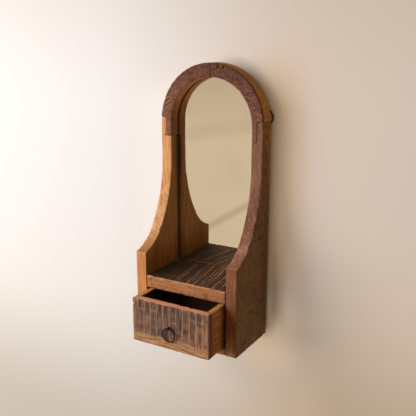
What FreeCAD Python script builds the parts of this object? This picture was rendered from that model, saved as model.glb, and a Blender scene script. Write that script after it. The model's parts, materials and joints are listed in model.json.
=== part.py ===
import FreeCAD, Part
import os
import Sketcher
from FreeCAD import Placement, Rotation, Vector

# Arched wall mirror with a shelf and a drawer, made of reclaimed boards.
# X is to the right, Y towards the wall and Z up, in millimetres.
# The origin is the centre of the case's footprint, on its underside.
# The drawer stands open by drawer_extension, and the rings hang straight down.

SIZES = {
    # Case
    "overall_width": 216,
    "board_thickness": 23,
    "case_depth": 124,
    "upper_depth": 33,
    "shelf_top_height": 123.5,
    "shelf_thickness": 24.5,
    "bottom_thickness": 12,
    "bay_back_thickness": 8,
    # Front edge of a side board: upright, then two hollow arcs back to the upper depth
    "front_step_height": 167,
    "curve_end_slope": 14.3,
    "lower_curve_radius": 86.5,
    "upper_curve_radius": 221,
    # Arch and its half laps
    "leg_height": 75,
    "crown_extra": 3,
    "lap_rise": 6,
    "lap_length": 36,
    # Patch in the arch's outer edge, with an open slit on both sides
    "patch_offset": 17,
    "patch_width": 9,
    "patch_height": 10.5,
    "patch_depth": 8,
    "patch_slit": 2,
    # Dowels across the crown joint
    "dowel_diameter": 5,
    "dowel_length": 40,
    "dowel_front_inset": 12.5,
    "dowel_back_inset": 7,
    "dowel_drop": 11,
    # Rabbet, glass and back panel
    "rabbet_width": 7,
    "glass_gap": 1,
    "side_rabbet_extra": 5,
    "glass_thickness": 3,
    "panel_thickness": 3.5,
    "panel_recess": 1,
    "edge_clearance": 1.5,
    # Glazing points
    "point_width": 6,
    "point_thickness": 0.6,
    "point_reach": 6,
    "point_bite": 4,
    "point_inset": 35,
    "point_angle_low": 30,
    "point_angle_high": 70,
    # Nails of the case
    "nail_diameter": 2.4,
    "nail_hold": 23,
    "nail_head_diameter": 5,
    "nail_head_height": 1,
    "nail_inset": 22,
    "pin_diameter": 1.6,
    "pin_end_cover": 4,
    "pin_head_diameter": 3.2,
    "pin_head_height": 0.8,
    "pin_inset": 9,
    # Drawer
    "drawer_extension": 51,
    "drawer_side_clearance": 4,
    "drawer_top_clearance": 2,
    "drawer_seat_gap": 0.3,
    "drawer_back_clearance": 1,
    "drawer_front_thickness": 14,
    "drawer_side_thickness": 11,
    "drawer_back_thickness": 11,
    "drawer_bottom_thickness": 5,
    "groove_depth": 5,
    "groove_height": 6,
    "brad_diameter": 1.6,
    "brad_hold": 18,
    "brad_head_diameter": 3.2,
    "brad_head_height": 0.8,
    "brad_inset": 14,
    "tack_diameter": 1.4,
    "tack_hold": 13,
    "tack_head_diameter": 3.6,
    "tack_head_height": 0.7,
    "tack_inset": 20,
    # Screw eyes and rings
    "eye_wire_diameter": 1.8,
    "eye_clearance": 1,
    "eye_standoff": 3,
    "eye_shank_diameter": 2.2,
    "eye_shank_length": 10,
    "ring_wire_diameter": 2.5,
    "ring_seat_gap": 0.3,
    "pull_ring_diameter": 25,
    "hanger_ring_diameter": 27.5,
    "hanger_inset": 12,
    "hanger_rise": 26.5,
}

doc = FreeCAD.newDocument("arched_mirror")
sheet = doc.addObject("Spreadsheet::Sheet", "Sizes")
for row, (name, number) in enumerate(SIZES.items(), start=1):
    sheet.set(f"A{row}", name)
    sheet.set(f"B{row}", str(number))
    sheet.setAlias(f"B{row}", name)
doc.recompute()

# Planes and heights that several pieces share
HALF_WIDTH = "(Sizes.overall_width / 2)"
INNER_HALF = "(Sizes.overall_width / 2 - Sizes.board_thickness)"
BACK = "(Sizes.case_depth / 2)"
FRONT = "(-Sizes.case_depth / 2)"
SHELF_TOP = "Sizes.shelf_top_height"
SHELF_UNDERSIDE = "(Sizes.shelf_top_height - Sizes.shelf_thickness)"
ARCH_FRONT = f"({BACK} - Sizes.upper_depth)"
# Centres of the two arcs in a side board's front edge, which touch each other from inside
LOWER_CENTER_Y = f"({FRONT} - Sizes.lower_curve_radius * sin(Sizes.curve_end_slope * 1 deg))"
LOWER_CENTER_Z = "(Sizes.front_step_height + Sizes.lower_curve_radius * cos(Sizes.curve_end_slope * 1 deg))"
UPPER_CENTER_Y = f"({ARCH_FRONT} - Sizes.upper_curve_radius)"
CURVE_TOP = (
    f"({LOWER_CENTER_Z} + sqrt((Sizes.upper_curve_radius - Sizes.lower_curve_radius) ^ 2"
    f" - ({LOWER_CENTER_Y} - {UPPER_CENTER_Y}) ^ 2))"
)
ARCH_CENTER = f"({CURVE_TOP} + Sizes.leg_height)"
LAP_TOP = f"({ARCH_CENTER} + Sizes.lap_rise)"
LAP_BOTTOM = f"({LAP_TOP} - Sizes.lap_length)"
LAP_FACE = f"({HALF_WIDTH} - Sizes.board_thickness / 2)"
ARCH_TOP = f"({ARCH_CENTER} + {HALF_WIDTH})"
INNER_CENTER = f"({ARCH_CENTER} - Sizes.crown_extra)"
RABBET_HALF = f"({INNER_HALF} + Sizes.rabbet_width)"
PANEL_BACK = f"({BACK} - Sizes.panel_recess)"
PANEL_FRONT = f"({PANEL_BACK} - Sizes.panel_thickness)"
ARCH_RABBET = f"({BACK} - {PANEL_FRONT} + Sizes.glass_thickness + Sizes.glass_gap)"
SIDE_RABBET = f"({ARCH_RABBET} + Sizes.side_rabbet_extra)"
DRAWER_HALF = f"({INNER_HALF} - Sizes.drawer_side_clearance)"
DRAWER_FRONT = f"({FRONT} - Sizes.drawer_extension)"
DRAWER_REAR = (
    f"({BACK} - Sizes.bay_back_thickness - Sizes.drawer_back_clearance - Sizes.drawer_extension)"
)
DRAWER_FOOT = "(Sizes.bottom_thickness + Sizes.drawer_seat_gap)"
DRAWER_TOP = f"({SHELF_UNDERSIDE} - Sizes.drawer_top_clearance)"
DRAWER_MIDDLE = f"(({DRAWER_FOOT} + {DRAWER_TOP}) / 2)"
FRONT_INNER = f"({DRAWER_FRONT} + Sizes.drawer_front_thickness)"
BACK_INNER = f"({DRAWER_REAR} - Sizes.drawer_back_thickness)"
SIDE_INNER = f"({DRAWER_HALF} - Sizes.drawer_side_thickness)"
FLOOR_UNDERSIDE = f"({DRAWER_FOOT} + Sizes.groove_height)"
FLOOR_TOP = f"({FLOOR_UNDERSIDE} + Sizes.drawer_bottom_thickness)"
EYE_RADIUS = "((Sizes.ring_wire_diameter + Sizes.eye_clearance + Sizes.eye_wire_diameter) / 2)"
RING_DROP = "(Sizes.eye_clearance / 2 - Sizes.ring_seat_gap)"

# Turns that point a piece's own Z axis along another axis
TO_LEFT = Rotation(Vector(0, 1, 0), -90)
TO_RIGHT = Rotation(Vector(0, 1, 0), 90)
TO_WALL = Rotation(Vector(1, 0, 0), -90)
TO_FRONT = Rotation(Vector(1, 0, 0), 90)
UPWARD = Rotation()

pieces = []
cuts_to_check = []


# Helpers

def value(expression):
    """The number that an expression on the sizes gives now."""
    return float(sheet.evalExpression(expression))


def bind(thing, **expressions):
    """Ties properties of an object to the sizes."""
    for name, expression in expressions.items():
        thing.setExpression(name, expression)


def place(thing, at, turn=UPWARD):
    """Turns an object and ties its position to the sizes."""
    thing.Placement = Placement(Vector(), turn)
    for axis, expression in zip("xyz", at):
        thing.setExpression(f"Placement.Base.{axis}", expression)


def piece(thing):
    """Counts an object as one of the finished pieces."""
    pieces.append(thing)
    return thing


def box(name, x, y, z):
    """A block between two limits on each axis."""
    block = doc.addObject("Part::Box", name)
    lengths = [f"{high} - {low}" for low, high in (x, y, z)]
    bind(block, Length=lengths[0], Width=lengths[1], Height=lengths[2])
    place(block, (x[0], y[0], z[0]))
    return block


def cylinder(name, diameter, length, at, turn):
    """A round bar from a point along the turned Z axis."""
    bar = doc.addObject("Part::Cylinder", name)
    bind(bar, Radius=f"{diameter} / 2", Height=length)
    place(bar, at, turn)
    return bar


def torus(name, radius, wire, at, turn):
    """A closed wire ring round the turned Z axis."""
    ring = doc.addObject("Part::Torus", name)
    bind(ring, Radius1=radius, Radius2=f"{wire} / 2")
    place(ring, at, turn)
    return ring


def fuse(name, first, second):
    joined = doc.addObject("Part::Fuse", name)
    joined.Base = first
    joined.Tool = second
    return joined


def group(name, members):
    """Separate solids held together as one object."""
    held = doc.addObject("Part::Compound", name)
    held.Links = members
    return held


def mirrored(name, source):
    """The left-hand twin of a right-hand object."""
    twin = doc.addObject("Part::Mirroring", name)
    twin.Source = source
    twin.Normal = Vector(1, 0, 0)
    return twin


def pair(name, members):
    """A group with its left-hand twin."""
    right = group(f"{name}_right", members)
    return group(name, [right, mirrored(f"{name}_left", right)])


def cut(name, base, tools):
    """A piece with the shapes that lie in it taken out."""
    result = doc.addObject("Part::Cut", name)
    result.Base = base
    result.Tool = tools[0] if len(tools) == 1 else group(f"{name}_cuts", tools)
    cuts_to_check.append((result, base))
    return result


def nail(name, kind, length, at, turn):
    """A nail with its head flush at a point and its shank along the turned Z axis."""
    shank = cylinder(f"{name}_shank", f"Sizes.{kind}_diameter", length, at, turn)
    head = cylinder(f"{name}_head", f"Sizes.{kind}_head_diameter", f"Sizes.{kind}_head_height", at, turn)
    return fuse(name, shank, head)


def screw_eye(name, at, surface, outward):
    """A wire eye round the X axis, with a shank into the wood behind the surface."""
    loop = torus(f"{name}_loop", EYE_RADIUS, "Sizes.eye_wire_diameter", at, TO_RIGHT)
    root = (at[0], f"({at[1]} - {outward} * {EYE_RADIUS})", at[2])
    length = f"({outward} * ({root[1]} - {surface}) + Sizes.eye_shank_length)"
    turn = TO_WALL if outward < 0 else TO_FRONT
    shank = cylinder(f"{name}_shank", "Sizes.eye_shank_diameter", length, root, turn)
    return piece(fuse(name, loop, shank))


def hanging_ring(name, eye, diameter):
    """A ring that hangs in an eye, just clear of the eye's wire."""
    center = (eye[0], eye[1], f"({eye[2]} - {RING_DROP} - {diameter} / 2)")
    return piece(torus(name, f"{diameter} / 2", "Sizes.ring_wire_diameter", center, TO_FRONT))


# Sketches

def body(name):
    return doc.addObject("PartDesign::Body", name)


def sketch_on(owner, role, name, offset):
    """An empty sketch on a plane of its own body, moved along the plane's normal."""
    planes = {feature.Role: feature for feature in owner.Origin.OriginFeatures}
    sketch = owner.newObject("Sketcher::SketchObject", name)
    sketch.AttachmentSupport = [(planes[role], "")]
    sketch.MapMode = "FlatFace"
    sketch.setExpression("AttachmentOffset.Base.z", offset)
    return sketch


def line(sketch, start, end):
    return sketch.addGeometry(Part.LineSegment(Vector(*start, 0), Vector(*end, 0)))


def arc(sketch, center, radius, start, end):
    """A counter-clockwise arc between two directions from its centre."""
    circle = Part.Circle(Vector(*center, 0), Vector(0, 0, 1), radius)
    angles = [Vector(1, 0, 0).getAngle(Vector(x - center[0], y - center[1], 0)) for x, y in (start, end)]
    signs = [-1 if y < center[1] else 1 for _, y in (start, end)]
    return sketch.addGeometry(Part.ArcOfCircle(circle, angles[0] * signs[0], angles[1] * signs[1]))


def join(sketch, order, smooth=()):
    """Joins each element's end to the next one's start, smoothly where asked."""
    for first, second in zip(order, order[1:] + order[:1]):
        kind = "Tangent" if (first, second) in smooth else "Coincident"
        sketch.addConstraint(Sketcher.Constraint(kind, first, 2, second, 1))


def square_up(sketch, across=(), upright=()):
    for element in across:
        sketch.addConstraint(Sketcher.Constraint("Horizontal", element))
    for element in upright:
        sketch.addConstraint(Sketcher.Constraint("Vertical", element))


def pin(sketch, element, point, x=None, y=None):
    """Ties a point of the sketch to the sizes, measured from the sketch's origin."""
    for kind, expression in (("DistanceX", x), ("DistanceY", y)):
        if expression is not None:
            rule = Sketcher.Constraint(kind, -1, 1, element, point, value(expression))
            index = sketch.addConstraint(rule)
            sketch.setExpression(f"Constraints[{index}]", expression)


def set_radius(sketch, element, expression):
    index = sketch.addConstraint(Sketcher.Constraint("Radius", element, value(expression)))
    sketch.setExpression(f"Constraints[{index}]", expression)


def rectangle(sketch, x, y):
    low = (value(x[0]), value(y[0]))
    high = (value(x[1]), value(y[1]))
    bottom = line(sketch, low, (high[0], low[1]))
    right = line(sketch, (high[0], low[1]), high)
    top = line(sketch, high, (low[0], high[1]))
    left = line(sketch, (low[0], high[1]), low)
    join(sketch, [bottom, right, top, left])
    square_up(sketch, across=(bottom, top), upright=(right, left))
    pin(sketch, bottom, 1, x[0], y[0])
    pin(sketch, right, 2, x[1], y[1])


def pad(owner, name, sketch, length):
    feature = owner.newObject("PartDesign::Pad", name)
    feature.Profile = sketch
    feature.setExpression("Length", length)
    return feature


def pocket(owner, name, sketch, length):
    """Cuts against the sketch's normal."""
    base = owner.Tip
    feature = owner.newObject("PartDesign::Pocket", name)
    feature.Profile = sketch
    feature.setExpression("Length", length)
    cuts_to_check.append((feature, base))
    return feature


# Side board, right hand: profile in the YZ plane, lap and rabbet cut away

def side_board():
    board = body("side_board")
    profile = sketch_on(board, "YZ_Plane", "side_profile", INNER_HALF)
    back, front, upper_front = value(BACK), value(FRONT), value(ARCH_FRONT)
    step, curve_top, top = value("Sizes.front_step_height"), value(CURVE_TOP), value(LAP_TOP)
    lower, upper = value("Sizes.lower_curve_radius"), value("Sizes.upper_curve_radius")
    lower_center = (value(LOWER_CENTER_Y), value(LOWER_CENTER_Z))
    upper_center = (value(UPPER_CENTER_Y), curve_top)
    reach = upper / (upper - lower)
    meeting = tuple(far + (near - far) * reach for near, far in zip(lower_center, upper_center))

    bottom_line = line(profile, (back, 0), (front, 0))
    front_line = line(profile, (front, 0), (front, step))
    lower_arc = arc(profile, lower_center, lower, (front, step), meeting)
    upper_arc = arc(profile, upper_center, upper, meeting, (upper_front, curve_top))
    upper_line = line(profile, (upper_front, curve_top), (upper_front, top))
    top_line = line(profile, (upper_front, top), (back, top))
    back_line = line(profile, (back, top), (back, 0))
    join(
        profile,
        [bottom_line, front_line, lower_arc, upper_arc, upper_line, top_line, back_line],
        smooth=[(lower_arc, upper_arc), (upper_arc, upper_line)],
    )
    square_up(profile, across=(bottom_line, top_line), upright=(front_line, upper_line, back_line))
    pin(profile, bottom_line, 1, BACK, "0")
    pin(profile, bottom_line, 2, x=FRONT)
    pin(profile, front_line, 2, y="Sizes.front_step_height")
    pin(profile, lower_arc, 3, LOWER_CENTER_Y, LOWER_CENTER_Z)
    set_radius(profile, upper_arc, "Sizes.upper_curve_radius")
    pin(profile, upper_line, 2, ARCH_FRONT, LAP_TOP)
    pad(board, "side_plank", profile, "Sizes.board_thickness")

    lap = sketch_on(board, "YZ_Plane", "side_lap_outline", LAP_FACE)
    rectangle(lap, (ARCH_FRONT, BACK), (LAP_BOTTOM, LAP_TOP))
    pocket(board, "side_lap", lap, f"{LAP_FACE} - {INNER_HALF}")

    rabbet = sketch_on(board, "XZ_Plane", "side_rabbet_outline", f"{SIDE_RABBET} - {BACK}")
    rectangle(rabbet, (INNER_HALF, RABBET_HALF), (SHELF_TOP, LAP_BOTTOM))
    pocket(board, "side_rabbet", rabbet, SIDE_RABBET)
    return board


# Arch half, right hand: profile in the XZ plane, with its leg lapped onto the side board

def arch_half():
    half = body("arch_half")
    profile = sketch_on(half, "XZ_Plane", "arch_profile", f"-{BACK}")
    outer, inner = value(HALF_WIDTH), value(INNER_HALF)
    center, inner_center = value(ARCH_CENTER), value(INNER_CENTER)
    lap_face, lap_top, lap_bottom = value(LAP_FACE), value(LAP_TOP), value(LAP_BOTTOM)
    shoulder = (outer**2 - (lap_top - center)**2)**0.5

    outer_arc = arc(profile, (0, center), outer, (shoulder, lap_top), (0, center + outer))
    crown_line = line(profile, (0, center + outer), (0, inner_center + inner))
    inner_arc = arc(profile, (0, inner_center), inner, (inner, inner_center), (0, inner_center + inner))
    leg_line = line(profile, (inner, lap_bottom), (inner, inner_center))
    foot_line = line(profile, (lap_face, lap_bottom), (inner, lap_bottom))
    lap_line = line(profile, (lap_face, lap_top), (lap_face, lap_bottom))
    shoulder_line = line(profile, (shoulder, lap_top), (lap_face, lap_top))
    profile.addConstraint(Sketcher.Constraint("Coincident", outer_arc, 2, crown_line, 1))
    profile.addConstraint(Sketcher.Constraint("Coincident", crown_line, 2, inner_arc, 2))
    profile.addConstraint(Sketcher.Constraint("Coincident", outer_arc, 1, shoulder_line, 1))
    profile.addConstraint(Sketcher.Constraint("Coincident", shoulder_line, 2, lap_line, 1))
    profile.addConstraint(Sketcher.Constraint("Coincident", lap_line, 2, foot_line, 1))
    profile.addConstraint(Sketcher.Constraint("Coincident", foot_line, 2, leg_line, 1))
    profile.addConstraint(Sketcher.Constraint("Tangent", leg_line, 2, inner_arc, 1))
    square_up(profile, across=(foot_line, shoulder_line), upright=(crown_line, leg_line, lap_line))
    pin(profile, outer_arc, 3, "0", ARCH_CENTER)
    pin(profile, inner_arc, 3, "0", INNER_CENTER)
    set_radius(profile, outer_arc, HALF_WIDTH)
    pin(profile, crown_line, 1, x="0")
    pin(profile, leg_line, 1, x=INNER_HALF)
    pin(profile, lap_line, 1, LAP_FACE, LAP_TOP)
    pin(profile, lap_line, 2, y=LAP_BOTTOM)
    pad(half, "arch_plank", profile, "Sizes.upper_depth")

    rabbet = sketch_on(half, "XZ_Plane", "arch_rabbet_outline", f"{ARCH_RABBET} - {BACK}")
    edge = value(RABBET_HALF)
    floor_line = line(rabbet, (0, lap_bottom), (edge, lap_bottom))
    wall_line = line(rabbet, (edge, lap_bottom), (edge, inner_center))
    wall_arc = arc(rabbet, (0, inner_center), edge, (edge, inner_center), (0, inner_center + edge))
    seam_line = line(rabbet, (0, inner_center + edge), (0, lap_bottom))
    join(rabbet, [floor_line, wall_line, wall_arc, seam_line], smooth=[(wall_line, wall_arc)])
    square_up(rabbet, across=(floor_line,), upright=(wall_line, seam_line))
    pin(rabbet, wall_arc, 3, "0", INNER_CENTER)
    pin(rabbet, floor_line, 1, "0", LAP_BOTTOM)
    pin(rabbet, floor_line, 2, x=RABBET_HALF)
    pocket(half, "arch_rabbet", rabbet, ARCH_RABBET)
    return half


# Glass and back panel: plates of one outline, standing on the shelf in the rabbet

def arched_plate(name, rear, thickness):
    plate = body(name)
    outline = sketch_on(plate, "XZ_Plane", f"{name}_outline", f"-{rear}")
    half_expression = f"({RABBET_HALF} - Sizes.edge_clearance)"
    half, foot, center = value(half_expression), value(SHELF_TOP), value(INNER_CENTER)
    foot_line = line(outline, (-half, foot), (half, foot))
    right_line = line(outline, (half, foot), (half, center))
    top_arc = arc(outline, (0, center), half, (half, center), (-half, center))
    left_line = line(outline, (-half, center), (-half, foot))
    join(
        outline,
        [foot_line, right_line, top_arc, left_line],
        smooth=[(right_line, top_arc), (top_arc, left_line)],
    )
    square_up(outline, across=(foot_line,), upright=(right_line,))
    pin(outline, top_arc, 3, "0", INNER_CENTER)
    pin(outline, top_arc, 1, x=half_expression)
    pin(outline, top_arc, 2, y=INNER_CENTER)
    pin(outline, foot_line, 1, y=SHELF_TOP)
    pad(plate, f"{name}_plate", outline, thickness)
    return piece(plate)


# Nails of the case, driven in from the sides' outer faces

def case_nails():
    depths = (f"({FRONT} + Sizes.nail_inset)", "0", f"({BACK} - Sizes.bay_back_thickness - Sizes.nail_inset)")
    shelf_middle = f"({SHELF_TOP} - Sizes.shelf_thickness / 2)"
    bay_middle = f"({BACK} - Sizes.bay_back_thickness / 2)"
    bay_heights = ("(Sizes.bottom_thickness + Sizes.nail_inset)", f"({SHELF_UNDERSIDE} - Sizes.nail_inset)")
    lap_middle = f"({BACK} - Sizes.upper_depth / 2)"
    lap_heights = (f"({LAP_BOTTOM} + Sizes.pin_inset)", f"({LAP_TOP} - Sizes.pin_inset)")
    through_side = "Sizes.board_thickness + Sizes.nail_hold"
    through_lap = "Sizes.board_thickness - Sizes.pin_end_cover"
    rows = {
        "shelf_nail": ("nail", through_side, [(y, shelf_middle) for y in depths]),
        "bottom_nail": ("nail", through_side, [(y, "(Sizes.bottom_thickness / 2)") for y in depths]),
        "bay_nail": ("nail", through_side, [(bay_middle, z) for z in bay_heights]),
        "lap_nail": ("pin", through_lap, [(lap_middle, z) for z in lap_heights]),
    }
    return [
        [
            nail(f"{name}_{number}", kind, length, (HALF_WIDTH, y, z), TO_LEFT)
            for number, (y, z) in enumerate(spots, start=1)
        ]
        for name, (kind, length, spots) in rows.items()
    ]


# Glazing points: thin steel tongues, half in the rabbet's wall and half over the back panel

def glazing_points():
    root = f"({RABBET_HALF} - Sizes.point_reach)"
    across = (root, f"({RABBET_HALF} + Sizes.point_bite)")
    deep = (PANEL_BACK, f"({PANEL_BACK} + Sizes.point_thickness)")
    heights = (
        f"({SHELF_TOP} + Sizes.point_inset)",
        f"(({SHELF_TOP} + {LAP_BOTTOM}) / 2)",
        f"({LAP_BOTTOM} - Sizes.point_inset)",
    )
    side_set = []
    for number, middle in enumerate(heights, start=1):
        tall = (f"({middle} - Sizes.point_width / 2)", f"({middle} + Sizes.point_width / 2)")
        side_set.append(box(f"side_point_{number}", across, deep, tall))
    arch_set = []
    for label in ("low", "high"):
        angle = f"Sizes.point_angle_{label}"
        point = doc.addObject("Part::Box", f"arch_point_{label}")
        bind(
            point,
            Length="Sizes.point_reach + Sizes.point_bite",
            Width="Sizes.point_thickness",
            Height="Sizes.point_width",
        )
        x = f"{root} * cos({angle} * 1 deg) + Sizes.point_width / 2 * sin({angle} * 1 deg)"
        z = f"{INNER_CENTER} + {root} * sin({angle} * 1 deg) - Sizes.point_width / 2 * cos({angle} * 1 deg)"
        place(point, (x, PANEL_BACK, z), Rotation(Vector(0, -1, 0), value(angle)))
        point.setExpression("Placement.Rotation.Angle", f"{angle} * 1 deg")
        arch_set.append(point)
    return side_set, arch_set


# Case

shelf_set, bottom_set, bay_set, lap_set = case_nails()
side_points, arch_points = glazing_points()
shelf_nails = piece(pair("shelf_nails", shelf_set))
bottom_nails = piece(pair("bottom_nails", bottom_set))
bay_back_nails = piece(pair("bay_back_nails", bay_set))
piece(pair("lap_nails", lap_set))
piece(pair("glazing_points", side_points + arch_points))

side_right = piece(
    cut("side_right", side_board(), shelf_set + bottom_set + bay_set + lap_set + side_points)
)
piece(mirrored("side_left", side_right))

hanger_eye = (
    f"({HALF_WIDTH} - Sizes.hanger_inset)",
    f"({BACK} + Sizes.eye_standoff)",
    f"({ARCH_CENTER} + Sizes.hanger_rise)",
)
hanger_eye_right = screw_eye("hanger_eye_right", hanger_eye, BACK, 1)
piece(mirrored("hanger_eye_left", hanger_eye_right))
hanger_ring_right = hanging_ring("hanger_ring_right", hanger_eye, "Sizes.hanger_ring_diameter")
piece(mirrored("hanger_ring_left", hanger_ring_right))

dowels = []
dowel_depths = (f"({ARCH_FRONT} + Sizes.dowel_front_inset)", f"({BACK} - Sizes.dowel_back_inset)")
for number, y in enumerate(dowel_depths, start=1):
    dowel_start = ("-Sizes.dowel_length / 2", y, f"({ARCH_TOP} - Sizes.dowel_drop)")
    dowels.append(
        cylinder(f"dowel_{number}", "Sizes.dowel_diameter", "Sizes.dowel_length", dowel_start, TO_RIGHT)
    )
piece(group("crown_dowels", dowels))

arch_blank = cut("arch_blank", arch_half(), dowels + lap_set + arch_points + [hanger_eye_right])
piece(mirrored("arch_left", arch_blank))
patch_bottom = f"({ARCH_TOP} - Sizes.patch_height)"
patch_end = "(Sizes.patch_offset + Sizes.patch_width)"
patch_deep = (ARCH_FRONT, f"({ARCH_FRONT} + Sizes.patch_depth)")
notch = box(
    "patch_notch",
    ("(Sizes.patch_offset - Sizes.patch_slit)", f"({patch_end} + Sizes.patch_slit)"),
    patch_deep,
    (patch_bottom, ARCH_TOP),
)
piece(cut("arch_right", arch_blank, [notch]))
patch_block = box("patch_block", ("Sizes.patch_offset", patch_end), patch_deep, (patch_bottom, ARCH_TOP))
crown_patch = doc.addObject("Part::Common", "crown_patch")
crown_patch.Base = arch_blank
crown_patch.Tool = patch_block
piece(crown_patch)

between_sides = (f"(-{INNER_HALF})", INNER_HALF)
shelf_block = box("shelf_block", between_sides, (FRONT, BACK), (SHELF_UNDERSIDE, SHELF_TOP))
piece(cut("shelf", shelf_block, [shelf_nails]))
bottom_block = box("bottom_block", between_sides, (FRONT, BACK), ("0", "Sizes.bottom_thickness"))
piece(cut("bottom_board", bottom_block, [bottom_nails]))
bay_block = box(
    "bay_block",
    between_sides,
    (f"({BACK} - Sizes.bay_back_thickness)", BACK),
    ("Sizes.bottom_thickness", SHELF_UNDERSIDE),
)
piece(cut("bay_back", bay_block, [bay_back_nails]))

arched_plate("mirror_glass", PANEL_FRONT, "Sizes.glass_thickness")
arched_plate("back_panel", PANEL_BACK, "Sizes.panel_thickness")

# Drawer

floor_block = box(
    "floor_block",
    (f"(-{SIDE_INNER} - Sizes.groove_depth)", f"({SIDE_INNER} + Sizes.groove_depth)"),
    (f"({FRONT_INNER} - Sizes.groove_depth)", DRAWER_REAR),
    (FLOOR_UNDERSIDE, FLOOR_TOP),
)
tacks = []
tack_length = "Sizes.drawer_bottom_thickness + Sizes.tack_hold"
back_middle = f"(({BACK_INNER} + {DRAWER_REAR}) / 2)"
for number in (-1, 0, 1):
    tack_head = (f"{number} * ({SIDE_INNER} - Sizes.tack_inset)", back_middle, FLOOR_UNDERSIDE)
    tacks.append(nail(f"floor_tack_{number + 2}", "tack", tack_length, tack_head, UPWARD))
piece(group("drawer_bottom_brads", tacks))
piece(cut("drawer_bottom", floor_block, tacks))

front_brads = []
back_brads = []
through_front = "Sizes.drawer_front_thickness + Sizes.brad_hold"
through_side = "Sizes.drawer_side_thickness + Sizes.brad_hold"
side_middle = f"(({SIDE_INNER} + {DRAWER_HALF}) / 2)"
brad_heights = (f"({FLOOR_TOP} + Sizes.brad_inset)", f"({DRAWER_TOP} - Sizes.brad_inset)")
for number, z in enumerate(brad_heights, start=1):
    front_head = (side_middle, DRAWER_FRONT, z)
    back_head = (DRAWER_HALF, back_middle, z)
    front_brads.append(nail(f"front_brad_{number}", "brad", through_front, front_head, TO_WALL))
    back_brads.append(nail(f"back_brad_{number}", "brad", through_side, back_head, TO_LEFT))
drawer_front_nails = piece(pair("drawer_front_nails", front_brads))
drawer_back_nails = piece(pair("drawer_back_nails", back_brads))

side_block = box(
    "drawer_side_block", (SIDE_INNER, DRAWER_HALF), (FRONT_INNER, DRAWER_REAR), (DRAWER_FOOT, DRAWER_TOP)
)
drawer_side_right = piece(cut("drawer_side_right", side_block, [floor_block] + front_brads + back_brads))
piece(mirrored("drawer_side_left", drawer_side_right))
back_block = box(
    "drawer_back_block", (f"(-{SIDE_INNER})", SIDE_INNER), (BACK_INNER, DRAWER_REAR), (FLOOR_TOP, DRAWER_TOP)
)
piece(cut("drawer_back", back_block, [drawer_back_nails] + tacks))

pull = ("0", f"({DRAWER_FRONT} - Sizes.eye_standoff)", DRAWER_MIDDLE)
pull_eye = screw_eye("pull_eye", pull, DRAWER_FRONT, -1)
hanging_ring("pull_ring", pull, "Sizes.pull_ring_diameter")
front_block = box(
    "drawer_front_block",
    (f"(-{DRAWER_HALF})", DRAWER_HALF),
    (DRAWER_FRONT, FRONT_INNER),
    (DRAWER_FOOT, DRAWER_TOP),
)
piece(cut("drawer_front", front_block, [floor_block, drawer_front_nails, pull_eye]))

# Checks, then one file for each piece

doc.recompute()
for thing in doc.Objects:
    if "Invalid" in thing.State or "Error" in thing.State:
        raise RuntimeError(f"{thing.Label} failed: {thing.State}")
for result, base in cuts_to_check:
    if result.Shape.Volume >= base.Shape.Volume - 1e-6:
        raise RuntimeError(f"{result.Label} cuts nothing from {base.Label}")
for thing in pieces:
    if thing.Shape.isNull() or not thing.Shape.isValid():
        raise RuntimeError(f"{thing.Label} has no valid shape")

os.makedirs("parts", exist_ok=True)
for thing in pieces:
    thing.Shape.exportStep(f"parts/{thing.Label}.step")
    limits = thing.Shape.BoundBox
    print(
        f"{thing.Label}: {len(thing.Shape.Solids)} solids, {thing.Shape.Volume / 1000:.2f} cm3,"
        f" x {limits.XMin:.2f} to {limits.XMax:.2f}, y {limits.YMin:.2f} to {limits.YMax:.2f},"
        f" z {limits.ZMin:.2f} to {limits.ZMax:.2f}"
    )
print(f"{len(pieces)} pieces")
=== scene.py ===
# %% [markdown]
# This lesson dresses a small wall mirror made of reclaimed boards: two curved side boards, an arch in two
# halves, a shelf and a drawer with an iron ring. The solids come in from the CAD model as a fixed frame, in
# metres, with X to the right, Y towards the wall and Z up. Everything below is built around them, so a board
# that is dressed here lies exactly where the solid lies, and a drawer that slides there slides here too.

# %% Load the frame
import json
import math
from functools import partialmethod

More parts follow.
